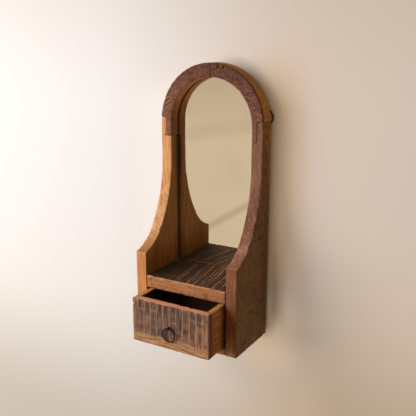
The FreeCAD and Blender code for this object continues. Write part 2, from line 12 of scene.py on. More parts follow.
import bmesh
import bpy
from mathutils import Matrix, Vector

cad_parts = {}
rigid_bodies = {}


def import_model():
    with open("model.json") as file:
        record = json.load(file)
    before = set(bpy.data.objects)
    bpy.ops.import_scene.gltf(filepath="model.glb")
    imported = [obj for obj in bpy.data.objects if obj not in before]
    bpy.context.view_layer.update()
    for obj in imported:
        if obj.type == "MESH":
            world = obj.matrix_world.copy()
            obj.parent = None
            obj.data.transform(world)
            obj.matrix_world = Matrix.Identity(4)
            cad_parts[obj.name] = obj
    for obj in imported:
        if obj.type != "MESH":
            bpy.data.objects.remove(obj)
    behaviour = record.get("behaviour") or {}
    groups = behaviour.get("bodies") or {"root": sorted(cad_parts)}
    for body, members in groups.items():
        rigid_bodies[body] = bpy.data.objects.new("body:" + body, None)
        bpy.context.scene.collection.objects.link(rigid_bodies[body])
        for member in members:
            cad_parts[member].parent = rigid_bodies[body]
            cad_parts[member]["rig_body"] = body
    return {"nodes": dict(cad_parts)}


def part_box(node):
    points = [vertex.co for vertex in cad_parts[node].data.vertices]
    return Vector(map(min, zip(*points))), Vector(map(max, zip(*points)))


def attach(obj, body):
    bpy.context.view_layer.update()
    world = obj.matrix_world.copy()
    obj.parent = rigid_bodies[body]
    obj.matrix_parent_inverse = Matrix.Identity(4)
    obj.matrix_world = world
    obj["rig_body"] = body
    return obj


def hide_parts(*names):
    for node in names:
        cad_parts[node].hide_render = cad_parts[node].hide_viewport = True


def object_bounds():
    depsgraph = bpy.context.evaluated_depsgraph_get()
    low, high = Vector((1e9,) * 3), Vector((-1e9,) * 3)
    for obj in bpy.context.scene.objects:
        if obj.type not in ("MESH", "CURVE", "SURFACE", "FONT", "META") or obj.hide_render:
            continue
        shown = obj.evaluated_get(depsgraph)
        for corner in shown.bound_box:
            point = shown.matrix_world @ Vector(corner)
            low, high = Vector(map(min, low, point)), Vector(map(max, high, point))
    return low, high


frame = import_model()
cad_low, cad_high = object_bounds()
body_of = {name: node["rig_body"] for name, node in frame["nodes"].items()}
print("solids:", len(body_of), "box:", [round(b - a, 4) for a, b in zip(cad_low, cad_high)])

# %% [markdown]
# Most of the work is done by node trees, and long chains of Math nodes are hard to read as calls. So a socket
# is wrapped in a small class whose operators add the Math nodes: `1 - mask * 0.5` then reads as it is meant.
# The same class serves shader trees and geometry trees, because the Math node is the same in both.

# %% Sums on sockets
FULL_TURN = 2 * math.pi


class Term:
    """One output socket of a tree, which can be used in sums."""

    def __init__(self, nodes, socket):
        self.nodes = nodes
        self.socket = socket

    def other(self, name):
        """Another output of the same node."""
        return Term(self.nodes, self.socket.node.outputs[name])

    def math(self, operation, *values):
        """A Math node for an operation on this value and others."""
        return self.nodes.math(operation, self, *values)

    def __rsub__(self, value):
        return self.nodes.math("SUBTRACT", value, self)

    __add__ = __radd__ = partialmethod(math, "ADD")
    __sub__ = partialmethod(math, "SUBTRACT")
    __mul__ = __rmul__ = partialmethod(math, "MULTIPLY")
    __truediv__ = partialmethod(math, "DIVIDE")
    __pow__ = partialmethod(math, "POWER")
    __abs__ = partialmethod(math, "ABSOLUTE")
    at_least = partialmethod(math, "MAXIMUM")
    at_most = partialmethod(math, "MINIMUM")

    def rise(self, low, high):
        """0 below low, 1 above high, and a soft step between."""
        sockets = {"Value": self, 1: low, 2: high}
        return self.nodes.node("ShaderNodeMapRange", sockets, interpolation_type="SMOOTHSTEP")

    def fall(self, low, high):
        """1 below low, 0 above high, and a soft step between."""
        return 1 - self.rise(low, high)

    def wave(self):
        """1 at each whole number, 0 halfway between two."""
        return (self * FULL_TURN).math("COSINE") * 0.5 + 0.5


def slant(first, second):
    """The long side of a right-angled triangle."""
    return (first * first + second * second) ** 0.5


print("sums ready")

# %% [markdown]
# Any other node comes from one method, which sets the node's own settings first and then fills its sockets.
# A finish is then built like a real one, in coats that each cover a share of the surface, so there is one
# method that lays coats over a colour and one that tints it.

# %% Nodes of a tree
def set_stops(ramp, stops):
    """Gives a colour ramp its stops, as (place, colour) pairs."""
    while len(ramp.elements) < len(stops):
        ramp.elements.new(1.0)
    for element, (place, colour) in zip(ramp.elements, stops):
        element.position = place
        element.color = colour


class Nodes:
    """A tree that is being written, and the material or world that owns it."""

    def __init__(self, tree, owner=None):
        self.tree = tree
        self.owner = owner

    def node(self, kind, sockets=None, output=0, **settings):
        """Adds one node: its settings first, then its sockets. Returns one of its outputs."""
        made = self.tree.nodes.new(kind)
        for name, value in settings.items():
            if name == "stops":
                set_stops(made.color_ramp, value)
            else:
                setattr(made, name, value)
        for name, value in (sockets or {}).items():
            if isinstance(value, Term):
                self.tree.links.new(value.socket, made.inputs[name])
            else:
                made.inputs[name].default_value = value
        return Term(self, made.outputs[output]) if made.outputs else made

    def math(self, operation, *values):
        return self.node("ShaderNodeMath", dict(enumerate(values)), operation=operation)

    def vector(self, x, y, z):
        return self.node("ShaderNodeCombineXYZ", {"X": x, "Y": y, "Z": z})

    def split(self, vector):
        x = self.node("ShaderNodeSeparateXYZ", {"Vector": vector}, "X")
        return x, x.other("Y"), x.other("Z")

    def scaled(self, vector, factor):
        return self.node("ShaderNodeVectorMath", {0: vector, "Scale": factor}, operation="SCALE")

    def dot(self, first, second):
        return self.node("ShaderNodeVectorMath", {0: first, 1: second}, "Value", operation="DOT_PRODUCT")

    def noise(self, place, scale, detail=2.0, roughness=0.5, distortion=0.0):
        """A noise texture at a vector, or at X, Y and Z."""
        place = self.vector(*place) if isinstance(place, tuple) else place
        sockets = {"Vector": place, "Scale": scale, "Detail": detail}
        return self.node("ShaderNodeTexNoise", sockets | {"Roughness": roughness, "Distortion": distortion})

    def luck(self, number):
        """A random value for each whole number."""
        return self.node("ShaderNodeTexWhiteNoise", {"W": number}, "Value", noise_dimensions="1D")

    def place(self):
        """X, Y and Z of a point of the surface, in the piece's own coordinates."""
        return self.split(self.node("ShaderNodeTexCoord", output="Object"))

    def facing(self, way):
        """How far the surface faces a way: 1 straight at it, 0 across it."""
        return self.dot(self.node("ShaderNodeTexCoord", output="Normal"), way)

    def attribute(self, name):
        return self.node("ShaderNodeAttribute", None, "Fac", attribute_name=name)

    def mix(self, share, first, second, blend="MIX"):
        """A mix of two colours."""
        sockets = {0: share, 6: first, 7: second}
        return self.node("ShaderNodeMix", sockets, 2, data_type="RGBA", blend_type=blend, clamp_factor=True)

    def tint(self, share, colour, by):
        """A colour, over a share of the surface times another one."""
        return self.mix(share, colour, by, "MULTIPLY")

    def layers(self, colour, *coats):
        """A colour with coats over it, each given as its share and its own colour."""
        for share, coat in coats:
            colour = self.mix(share, colour, coat)
        return colour


print("node methods ready")

# %% Colours, finishes and objects
def tone(red, green, blue):
    """A colour as it is read off a screen, 0 to 255, as the linear colour that Blender mixes."""
    def linear(level):
        share = level / 255
        return share / 12.92 if share <= 0.04045 else ((share + 0.055) / 1.055) ** 2.4
    return (linear(red), linear(green), linear(blue), 1.0)


def times(colour, factor):
    """A colour made brighter or darker."""
    return (*(factor * part for part in colour[:3]), 1.0)


def empty_nodes(owner):
    """The cleared tree of a material or a world."""
    owner.use_nodes = True
    owner.node_tree.nodes.clear()
    return Nodes(owner.node_tree, owner)


def new_finish(name):
    """The empty tree of a new material."""
    return empty_nodes(bpy.data.materials.new(name))


def add_object(name, data):
    """A new object in the scene."""
    made = bpy.data.objects.new(name, data)
    bpy.context.scene.collection.objects.link(made)
    return made


print("mid grey on screen, as Blender mixes it:", tone(128, 128, 128))

# %% [markdown]
# The picture is taken from the right and a little above, as one looks at a mirror that hangs at chest height.
# The place, the turn and the focal length were worked out from the corners of the boards in the photograph,
# so the camera is set with plain numbers. A tracking constraint would do as well, but it hides the angles.

# %% Camera
CAMERA_PLACE = (0.5840, -0.9655, 0.5393)
CAMERA_TURN = 0.5340
CAMERA_TILT = -0.2504
CAMERA_LENS = 54.38
camera = add_object("camera", bpy.data.cameras.new("camera"))
camera.data.lens = CAMERA_LENS
camera.data.sensor_width = 36.0
camera.data.clip_start = 0.01
camera.location = CAMERA_PLACE
camera.rotation_euler = (math.pi / 2 + CAMERA_TILT, 0, CAMERA_TURN)
bpy.context.scene.camera = camera
bpy.context.scene.view_settings.view_transform = "Standard"
print("camera", CAMERA_PLACE, "lens", CAMERA_LENS)

# %% [markdown]
# The mirror hangs on a cream wall, with a pale floor well below it. A wall takes its colour from the whole
# room, which a few lamps can't give. So its soft light is painted into its colour: paler on the side of the
# lamp, darker far up and down, warm where the wood throws its colour back, lifted again under the case, and
# shaded beside its foot and in the nook behind it. The places in the masks are metres on the wall.

# %% Light on the wall
NOOK_REACH = 0.024
DUSK = tone(152, 130, 106)
NOOK_SHADE = tone(84, 62, 36)
WOOD_GLOW = tone(218, 180, 128)
LIFTED = tone(252, 228, 196)
LAMP_GLOW = (1.08, 1.08, 1.08, 1)
LOW_WARMTH = tone(255, 246, 226)


def painted_light(nodes, near, far, fade):
    """A colour that goes from near to far along X, with the room's light and shade on it."""
    x, _, z = nodes.place()
    far_away = z.fall(-0.40, 0.05) * 0.42 + z.rise(0.40, 0.72) * 0.18
    far_away = far_away + x.rise(0.18, 0.26) * z.fall(-0.12, 0.06) * 0.14
    colour = nodes.mix(x.rise(-0.32, 0.22), near, far)
    colour = nodes.mix(far_away * fade, colour, DUSK)
    low = z.fall(-0.3, 0.3) * (0.3 + x.rise(0.0, 0.2) * 0.6)
    strip = x.rise(0.0, 0.10) * x.fall(0.11, 0.21)
    beside = strip * z.rise(0.02, 0.14) * z.fall(0.42, 0.58)
    lifted = strip * z.rise(-0.12, -0.03) * z.fall(0.04, 0.10)
    shade = x.rise(0.104, 0.120) * x.fall(0.118, 0.154) * z.rise(0.0, 0.05) * z.fall(0.05, 0.27)
    nook = 1 - nodes.node("ShaderNodeAmbientOcclusion", {"Distance": NOOK_REACH}, "AO", samples=8)
    colour = nodes.layers(
        nodes.tint(low, colour, LOW_WARMTH),
        (beside * 0.65, WOOD_GLOW),
        (lifted * 0.9, LIFTED),
        (shade * 0.55, NOOK_SHADE),
        (nook * x.rise(-0.03, 0.09) * 1.4, NOOK_SHADE),
    )
    glow = x.rise(-0.23, -0.15) * x.fall(-0.12, -0.06) * z.rise(0.06, 0.16) * z.fall(0.42, 0.50)
    return nodes.tint(glow, colour, LAMP_GLOW)


print("wall light ready")

# %% [markdown]
# Wall and floor are one-sided: a ray from behind goes through, so that the back of the mirror can be looked
# at too. They also show themselves only to the camera, to reflections and to glass, so they add no light of
# their own to the boards. A bright room lightens the shadow on a wall, so part of the wall's paleness is
# painted light: the wall glows with its own colour, and the rest comes from the lamps.

# %% Wall and floor
WALL_GAP = 0.00196
WALL_PLACE = cad_high[1] + WALL_GAP
FLOOR_DROP = -0.62
STAGE_HALF = 1.8
WALL_GLOW_SHARE = 0.45


def sees_backdrop(nodes):
    """1 for the rays that may see the backdrop, and 0 for those that carry light."""
    camera_ray = nodes.node("ShaderNodeLightPath", output="Is Camera Ray")
    seen = camera_ray + camera_ray.other("Is Glossy Ray") + camera_ray.other("Is Transmission Ray")
    return seen.at_most(1.0)


def backdrop_finish(name, near, far, fade):
    """A matt one-sided finish that partly glows with its own colour, as painted light."""
    nodes = new_finish(name)
    colour = painted_light(nodes, near, far, fade)
    warm = nodes.tint(0.12, colour, tone(255, 236, 210))
    lit = nodes.node("ShaderNodeBsdfDiffuse", {"Color": colour})
    own = nodes.node("ShaderNodeEmission", {"Color": warm, "Strength": 1.0})
    matt = nodes.node("ShaderNodeMixShader", {0: WALL_GLOW_SHARE, 1: lit, 2: own})
    clear = nodes.node("ShaderNodeBsdfTransparent")
    front = 1 - nodes.node("ShaderNodeNewGeometry", output="Backfacing")
    shown = nodes.node("ShaderNodeMixShader", {0: sees_backdrop(nodes) * front, 1: clear, 2: matt})
    nodes.node("ShaderNodeOutputMaterial", {"Surface": shown})
    return nodes.owner


def backdrop(name, corners, finish):
    """A single rectangle that belongs to the stage."""
    mesh = bpy.data.meshes.new(name)
    mesh.from_pydata(corners, [], [(0, 1, 2, 3)])
    mesh.materials.append(finish)
    add_object(name, mesh)


half, wall, floor = STAGE_HALF, WALL_PLACE, FLOOR_DROP
wall_corners = [(-half, wall, floor), (half, wall, floor), (half, wall, half), (-half, wall, half)]
floor_corners = [(-half, -half, floor), (half, -half, floor), (half, wall, floor), (-half, wall, floor)]
wall_finish = backdrop_finish("cream_wall", near=tone(244, 241, 241), far=tone(228, 213, 201), fade=1.0)
floor_finish = backdrop_finish("pale_floor", near=tone(228, 218, 206), far=tone(220, 206, 190), fade=0.0)
backdrop("wall", wall_corners, wall_finish)
backdrop("floor", floor_corners, floor_finish)
print("wall at", round(WALL_PLACE, 4), "floor at", FLOOR_DROP)

# %% [markdown]
# One large soft lamp stands to the left in front, as a window would, and weak ones fill in from the right and
# from behind. The even light all round comes from the world. What the mirror shows of the room is a plain
# beige, which is given to reflections alone, so that the boards keep their own light. It has a fade and two
# faint slanting beams, placed by where they are to be seen in the glass.

# %% Lamps
AIM = Vector((0, 0, 0.25))


def lamp(name, place, size, power, colour):
    """A square soft lamp that shines at the middle of the part and is never seen itself."""
    light = bpy.data.lights.new(name, "AREA")
    light.size = size
    light.energy = power
    light.color = colour
    made = add_object(name, light)
    made.location = place
    made.rotation_euler = (AIM - Vector(place)).to_track_quat("-Z", "Y").to_euler()
    made.visible_glossy = False
    made.visible_camera = False


lamp("window", place=(-1.65, -1.37, 0.85), size=1.9, power=76, colour=(1.0, 0.96, 0.91))
lamp("right_fill", place=(2.2, 0.7, 0.5), size=1.0, power=8, colour=(1.0, 0.82, 0.55))
lamp("back_fill", place=(-0.6, 1.8, -0.1), size=1.6, power=24, colour=(1.0, 0.95, 0.88))
print("lamps:", len(bpy.data.lights))

# %% World
GLASS_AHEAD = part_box("mirror_glass")[0][1] - CAMERA_PLACE[1]
EVEN_LIGHT = (0.11, 0.088, 0.062, 1)
BEAMS = ((0.20, 0.389, 0.022, 0.18), (0.64, 0.210, 0.013, 0.42))
world = bpy.data.worlds.new("studio")
bpy.context.scene.world = world
sky = empty_nodes(world)
way_x, way_y, way_z = sky.split(sky.node("ShaderNodeTexCoord", output="Generated"))
glass_x = way_x / (way_y * -1.0) * GLASS_AHEAD + CAMERA_PLACE[0]
glass_z = way_z / (way_y * -1.0) * GLASS_AHEAD + CAMERA_PLACE[2]
far_things = sky.noise((glass_x, glass_z, 0.0), 9.0, 1.0).rise(0.45, 0.75)
room = sky.mix(glass_z.rise(0.36, 0.50), tone(215, 191, 158), tone(196, 173, 142))
room = sky.mix(far_things * 0.2, room, tone(190, 166, 132))
for slope, height, width, share in BEAMS:
    off = abs(glass_z - glass_x * slope - height)
    room = sky.mix(off.fall(width * 0.2, width) * share, room, tone(160, 138, 108))
surround = sky.mix(sees_backdrop(sky), EVEN_LIGHT, tone(226, 212, 196))
surround = sky.mix(sky.node("ShaderNodeLightPath", output="Is Glossy Ray"), surround, room)
background = sky.node("ShaderNodeBackground", {"Color": surround, "Strength": 1.0})
sky.node("ShaderNodeOutputWorld", {"Surface": background})
print("world nodes:", len(sky.tree.nodes))

# %% [markdown]
# Reclaimed boards have no sharp edges: decades of use have rounded and chipped them, and the saw has left
# ridges on their faces. Such wear could be painted as bump, but then the outline would stay as straight as
# the drawing. Here each solid is first remeshed into an even skin of small squares, and a Geometry Nodes tree
# then moves the skin inwards: by the distance to the nearest sharp edge of the solid, by pits, and by saw
# ridges on one face. The tree also writes what it did into attributes, so the colours later follow the same
# wear. Two more trees come later, so what all three need is written once.

# %% Helpers for geometry trees
SOCKET_KINDS = {float: "Float", int: "Int", tuple: "Vector"}


def new_tree(name, inputs):
    """A tree, its inputs by name, and their identifiers. An input is given by its first value or its kind."""
    tree = bpy.data.node_groups.new(name, "GeometryNodeTree")
    tree.interface.new_socket(name="Geometry", in_out="OUTPUT", socket_type="NodeSocketGeometry")
    identifiers = {}
    for label, value in ({"Geometry": "Geometry"} | inputs).items():
        kind = SOCKET_KINDS.get(type(value), value)
        made = tree.interface.new_socket(name=label, in_out="INPUT", socket_type="NodeSocket" + kind)
        if kind != value:
            made.default_value = value
        identifiers[label] = made.identifier
    nodes = Nodes(tree)
    return nodes, nodes.node("NodeGroupInput", output="Geometry").other, identifiers


def pushed(nodes, shape, way):
    """A shape whose skin is moved along its normals."""
    offset = nodes.scaled(nodes.node("GeometryNodeInputNormal"), way)
    return nodes.node("GeometryNodeSetPosition", {"Geometry": shape, "Offset": offset})


def close_tree(nodes, shape, finish):
    """Ends a tree: real geometry in its finish."""
    whole = nodes.node("GeometryNodeRealizeInstances", {"Geometry": shape})
    coated = nodes.node("GeometryNodeSetMaterial", {"Geometry": whole, "Material": finish})
    nodes.node("NodeGroupOutput", {"Geometry": coated})
    print(nodes.tree.name, "nodes:", len(nodes.tree.nodes))


print("tree helpers ready")

# %% The worn board tree
worn, skin, worn_id = new_tree("worn_board", {
    "Solid": "Object", "Finish": "Material", "Shortest Edge": 0.002, "Wear Depth": 0.0005,
    "Wear Reach": 0.003, "Chip Depth": 0.0012, "Chip Size": 0.012, "Wave Depth": 0.0003,
    "Old Face": (0, 0, 0), "Inner Face": (0, 0, 0), "Pit Depth": 0.0, "Pit Size": 0.004,
    "Saw Across": (1, 0, 0), "Saw Pitch": 0.015, "Saw Depth": 0.0, "Stroke Break": 55.0, "Fine Share": 0.3,
    "Sway": 0.5, "Uneven": 0.0, "Holes": "Object", "Nails": "Object", "Seed": 0.0,
})
point = worn.node("GeometryNodeInputPosition")
normal = worn.node("GeometryNodeInputNormal")
shifted = worn.node("ShaderNodeVectorMath", {0: point, 1: skin("Seed")}, operation="ADD")
print("worn board inputs:", ", ".join(worn_id))

# %% [markdown]
# Edge wear falls off with the distance to the sharp edge. Short edges are left out, because they are the rims
# of the nail holes. A coarse noise decides where a chip broke away, and a fine one keeps the rest of the edge
# from looking machined.

# %% Edge wear and chips
SHARP_BEND = 0.7
solid = worn.node("GeometryNodeObjectInfo", {"Object": skin("Solid")}, "Geometry")
first = worn.node("GeometryNodeInputMeshEdgeVertices", output="Position 1")
ends = {0: first, 1: first.other("Position 2")}
length = worn.node("ShaderNodeVectorMath", ends, "Value", operation="DISTANCE")
bend = worn.node("GeometryNodeInputMeshEdgeAngle", output="Unsigned Angle")
sharp = length.math("GREATER_THAN", skin("Shortest Edge")) * bend.math("GREATER_THAN", SHARP_BEND)
edges = worn.node("GeometryNodeSeparateGeometry", {"Geometry": solid, "Selection": sharp}, domain="EDGE")
distance = worn.node("GeometryNodeProximity", {0: edges}, "Distance", target_element="EDGES")
near_edge = (distance / skin("Wear Reach")).fall(0.0, 1.0)
rub = worn.noise(shifted, 260.0, 3.0)
chips = worn.noise(shifted, skin("Chip Size") ** -1.0, 3.0, 0.6).rise(0.52, 0.68)
edge_drop = near_edge * (skin("Wear Depth") * (0.3 + rub) + skin("Chip Depth") * chips)
wave_drop = worn.noise(shifted, 28.0) * skin("Wave Depth")
print("edge wear written")

# %% [markdown]
# The saw leaves ridges at an even pitch, but no two strokes are equally deep. The place across the strokes,
# counted in strokes, gets a slow sway, a hard line for each stroke with its own random strength, and finer
# lines between. The ridges only show on the board's old face, the one that was never planed off.

# %% Saw strokes and pits
facing = worn.dot(normal, skin("Old Face")).rise(0.55, 0.85)
across = worn.dot(point, skin("Saw Across")) / skin("Saw Pitch")
sway = (worn.noise(shifted, 9.0, 1.0) - 0.5) * skin("Sway")
uneven = (across * 2.1).math("SINE") * 0.26 + (across * 5.3).math("SINE") * 0.09
stroke = across + sway + uneven * skin("Uneven")
stroke_luck = worn.luck((stroke + 0.5).math("FLOOR") + skin("Seed"))
main_line = stroke.wave() ** 14.0
fine_line = ((stroke + rub * 0.05) * 3.0).wave() ** 5.0
broken = worn.noise(shifted, skin("Stroke Break")).rise(0.38, 0.6)
saw = (main_line * (0.3 + stroke_luck * 0.7) + fine_line * skin("Fine Share")) * (0.35 + broken * 0.65)
saw_drop = saw * facing * skin("Saw Depth")
pits = worn.noise(shifted, skin("Pit Size") ** -1.0, 3.0, 0.65).rise(0.45, 0.75)
pit_drop = pits * facing * skin("Pit Depth")
print("saw strokes written")

# %% [markdown]
# Old planks bring their old nail holes along, and the nails that hold them now stain the wood round their
# heads. Both are points that are handed to the tree as small meshes, and the distance to the nearest point
# says where the skin sinks and where it goes dark.

# %% Nail holes and iron stains
HOLE_RADIUS = 0.0016
HOLE_DEPTH = 0.0028
STAIN_CORE = 0.0024
STAIN_REACH = 0.007


def near_points(holder, inner, outer):
    """1 at the points of an object and 0 from the outer distance on."""
    points = worn.node("GeometryNodeObjectInfo", {"Object": holder}, "Geometry")
    gap = worn.node("GeometryNodeProximity", {0: points}, "Distance", target_element="POINTS")
    return gap.fall(inner, outer)


hole = near_points(skin("Holes"), HOLE_RADIUS * 0.5, HOLE_RADIUS)
stain = near_points(skin("Nails"), STAIN_CORE, STAIN_REACH) * (0.4 + broken * 0.6)
print("holes and stains written")

# %% [markdown]
# All the drops are added and taken along the normal, always inwards, so that no board grows into its
# neighbour. Attributes are kept for the finishes: how worn the edge is, how much of the old face is left,
# which stroke of the saw went there, which face is the inner one, and where holes and stains are.

# %% Move the skin and keep the wear
wear_shown = {
    "edge_wear": near_edge * (0.35 + chips * 0.65),
    "old_face": facing * (1 - near_edge * chips),
    "saw_stroke": stroke,
    "inner_face": worn.dot(normal, skin("Inner Face")).rise(0.3, 0.7),
    "dark_spots": hole.at_least(stain * 0.55),
}
kept = skin("Geometry")
for name, value in wear_shown.items():
    sockets = {"Geometry": kept, "Name": name, "Value": value}
    kept = worn.node("GeometryNodeStoreNamedAttribute", sockets, data_type="FLOAT", domain="POINT")
drop = edge_drop + wave_drop + saw_drop + pit_drop + hole * HOLE_DEPTH
moved = pushed(worn, kept, drop * -1.0)
close_tree(worn, worn.node("GeometryNodeSetShadeSmooth", {"Geometry": moved}), skin("Finish"))

# %% [markdown]
# The solids' meshes are loose triangles, so a copy is merged before it is used. The nails come as many small
# solids in one mesh. Walking from corner to corner finds each of them, and its box and its ends give the
# nail's own measures. Typing them in again would do too, until the drawing changes.

# %% Meshes of the solids
MERGE_REACH = 2e-6
NAIL_END = 0.02


def merged_copy(name):
    """A copy of a solid's mesh with its doubled corners merged."""
    mesh = frame["nodes"][name].data.copy()
    mesh.materials.clear()
    work = bmesh.new()
    work.from_mesh(mesh)
    bmesh.ops.remove_doubles(work, verts=work.verts, dist=MERGE_REACH)
    work.to_mesh(mesh)
    work.free()
    return mesh


def islands(mesh):
    """The separate solids in a mesh, each as a list of its corners."""
    work = bmesh.new()
    work.from_mesh(mesh)
    seen = set()
    for start in work.verts:
        if start.index in seen:
            continue
        seen.add(start.index)
        group = [start]
        for corner in group:
            fresh = [edge.other_vert(corner) for edge in corner.link_edges]
            fresh = [other for other in fresh if other.index not in seen]
            seen.update(other.index for other in fresh)
            group.extend(fresh)
        yield [corner.co.copy() for corner in group]
    work.free()


def nails_in(node):
    """Each nail of a node: middle of its head, the way its head faces, its length and its two radii."""
    for corners in islands(merged_copy(node)):
        low, high = (Vector([pick(c[i] for c in corners) for i in range(3)]) for pick in (min, max))
        middle = (low + high) / 2
        axis = max(range(3), key=lambda i: high[i] - low[i])
        length = high[axis] - low[axis]
        radii = {}
        for end in (low[axis], high[axis]):
            rim = [c - middle for c in corners if abs(c[axis] - end) < length * NAIL_END]
            radii[end] = max(math.hypot(*(c[i] for i in range(3) if i != axis)) for c in rim)
        tip, top = sorted(radii, key=lambda end: (radii[end], end))
        head, out = middle.copy(), Vector((0, 0, 0))
        head[axis] = top
        out[axis] = math.copysign(1, top - middle[axis])
        yield head, out, length, radii[top], radii[tip]


CASE_NAILS = ("lap_nails", "shelf_nails", "bottom_nails", "bay_back_nails")
DRAWER_NAILS = ("drawer_front_nails", "drawer_back_nails", "drawer_bottom_brads")
nails = {node: list(nails_in(node)) for node in CASE_NAILS + DRAWER_NAILS}
print("nails:", {node: len(found) for node, found in nails.items()})

# %% [markdown]
# A helper runs the tree on one solid. The voxel remesher gives the merged copy squares of one size, and the
# evaluated result becomes a plain mesh, because the export has no use for live modifiers. The piece then
# rides on the solid's own body in its place.

# %% Dress one board
FAR_AWAY = (0, 0, -9)
HEAD_SLACK = 0.001


def point_holder(name, points):
    """A mesh of bare points. One lies far away, so that the distance is never undefined."""
    mesh = bpy.data.meshes.new(name)
    mesh.from_pydata([*points, FAR_AWAY], [], [])
    return add_object(name, mesh)


def nail_heads_on(node):
    """The nail heads that lie on a board."""
    low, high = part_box(node)
    heads = [head for found in nails.values() for head, *_ in found]
    return [h for h in heads if all(a - HEAD_SLACK < c < b + HEAD_SLACK for a, c, b in zip(low, h, high))]


def run_tree(piece, nodes, identifiers, values):
    """Runs a tree on a piece, and leaves it as a plain mesh."""
    modifier = piece.modifiers.new(nodes.tree.name, "NODES")
    modifier.node_group = nodes.tree
    for name, value in values.items():
        modifier[identifiers[name]] = value
    bpy.context.view_layer.update()
    done = bpy.data.meshes.new_from_object(piece.evaluated_get(bpy.context.evaluated_depsgraph_get()))
    piece.modifiers.clear()
    piece.data = done


def take_place(piece, body, slot, *replaced):
    """Puts a piece on a body in place of some solids."""
    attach(piece, body)
    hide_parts(*replaced)
    print(piece.name, "faces", len(piece.data.polygons))


def dress_board(node, finish, slot, cell=0.001, holes=(), **sizes):
    """Replaces a wooden solid with its worn self."""
    solid = add_object(node + "_solid", merged_copy(node))
    board = add_object(node + "_board", solid.data.copy())
    spots = point_holder(node + "_holes", holes)
    heads = point_holder(node + "_heads", nail_heads_on(node))
    remesh = board.modifiers.new("even_skin", "REMESH")
    remesh.mode = "VOXEL"
    remesh.voxel_size = cell
    values = {key.replace("_", " ").title(): value for key, value in sizes.items()}
    values |= {"Solid": solid, "Finish": finish, "Holes": spots, "Nails": heads}
    run_tree(board, worn, worn_id, values)
    for helper in (solid, spots, heads):
        bpy.data.objects.remove(helper)
    take_place(board, body_of[node], slot, node)


print("board helper ready")

# %% [markdown]
# Wood shows two things at once: the year rings, which a saw cuts into long lines or arches, and the fibres,
# which are a hundred times finer. The rings here are true cylinders round a heart that lies outside the
# board, swayed by noise, so the pattern on the front and on the edge of a board belongs together. A wave
# texture on each face would be quicker, but it shows on the corner that the faces don't match.

# %% Year rings and fibres
GRAIN_STRETCH = 0.07
AXIS = {"X": (1, 0, 0), "Y": (0, 1, 0), "Z": (0, 0, 1)}


def fresh_wood(nodes, grain, tones, ring_pitch, heart, seed, contrast=0.2, end_dark=0.75):
    """Colour and height of sawn wood whose grain runs along an axis. tones go from dark to pale."""
    x, y, z = nodes.place()
    along, wide, deep = {"X": (x, y, z), "Y": (y, x, z), "Z": (z, x, y)}[grain]
    long_way = nodes.vector(along * GRAIN_STRETCH + seed, wide, deep)
    lazy = nodes.noise(long_way, 24.0) - 0.5
    radius = slant(wide + lazy * 0.016 + along * 0.03 - heart[0], deep + lazy * 0.010 - heart[1])
    ring = (radius * (FULL_TURN / ring_pitch)).math("SINE") * 0.5 + 0.5
    late = ring ** 2.2 * nodes.noise(long_way, 60.0, 1.0).rise(0.25, 0.75)
    fibre = nodes.noise(long_way, 620.0, 4.0, 0.65)
    pores = nodes.noise(long_way, 1500.0, 1.0).rise(0.60, 0.74)
    streak = nodes.noise(long_way, 120.0, 3.0)
    cloud = nodes.noise((along * 0.4 + seed, wide, deep), 22.0, 3.0)
    end_grain = abs(nodes.facing(AXIS[grain])).rise(0.55, 0.85)
    level = 0.6 - late * contrast - pores * 0.16
    level = level + (fibre - 0.5) + (streak - 0.5) * 1.1 + (cloud - 0.5) * 0.5
    stops = [(0.15, tones[0]), (0.55, tones[1]), (0.95, tones[2])]
    colour = nodes.node("ShaderNodeValToRGB", {"Fac": level}, "Color", stops=stops)
    colour = nodes.mix(end_grain * end_dark, colour, times(tones[0], 0.3))
    return colour, fibre * 0.6 - late * 0.25 - pores * 0.5


def saw_lines(nodes, sharpness, seed, even=0.2, ragged=0.0):
    """The saw's lines, sharper than the skin's squares, and the number of the band between two of them."""
    stroke = nodes.attribute("saw_stroke") + ragged
    luck = nodes.luck((stroke + 0.5).math("FLOOR") + seed)
    return stroke.wave() ** sharpness * (even + luck * (1 - even)), stroke.math("FLOOR")


print("wood ready")

# %% [markdown]
# Every finish ends in the same way: one shader that takes its colour, its roughness, and a fine relief for
# what is too small for the mesh. The plainest boards need little more than sawn wood. Their worn edges take
# one of the wood's own tones, and iron stains the wood round the nails.

# %% Ends of a finish, and plain boards
IRON_STAIN = tone(34, 24, 20)
RELIEF = 0.6


def close_finish(nodes, colour, roughness, height=None, bump=0.0005, metallic=0.0):
    """Ends a finish with its shader, and returns the material."""
    sockets = {"Base Color": colour, "Roughness": roughness, "Metallic": metallic}
    if height is not None:
        relief = {"Strength": RELIEF, "Distance": bump, "Height": height}
        sockets["Normal"] = nodes.node("ShaderNodeBump", relief)
    shader = nodes.node("ShaderNodeBsdfPrincipled", sockets)
    nodes.node("ShaderNodeOutputMaterial", {"Surface": shader})
    return nodes.owner


def plain_board_finish(name, grain, tones, ring_pitch, heart, seed, dark_face=None, edge=0, upper=0.0):
    """Sawn wood. Its old face may be made dark, and what faces up may get a painted highlight."""
    nodes = new_finish(name)
    colour, height = fresh_wood(nodes, grain, tones, ring_pitch, heart, seed)
    # Painted highlight on what faces up.
    colour = nodes.mix(nodes.facing(AXIS["Z"]).rise(0.6, 0.9) * upper, colour, tones[2])
    if dark_face is not None:
        colour = nodes.mix(nodes.attribute("old_face") * 0.94, colour, dark_face)
    colour = nodes.layers(
        colour,
        (nodes.attribute("edge_wear") * 0.35, tones[edge]),
        (nodes.attribute("dark_spots"), IRON_STAIN),
    )
    return close_finish(nodes, colour, 0.72 - height * 0.1, height)


print("finish helpers ready")

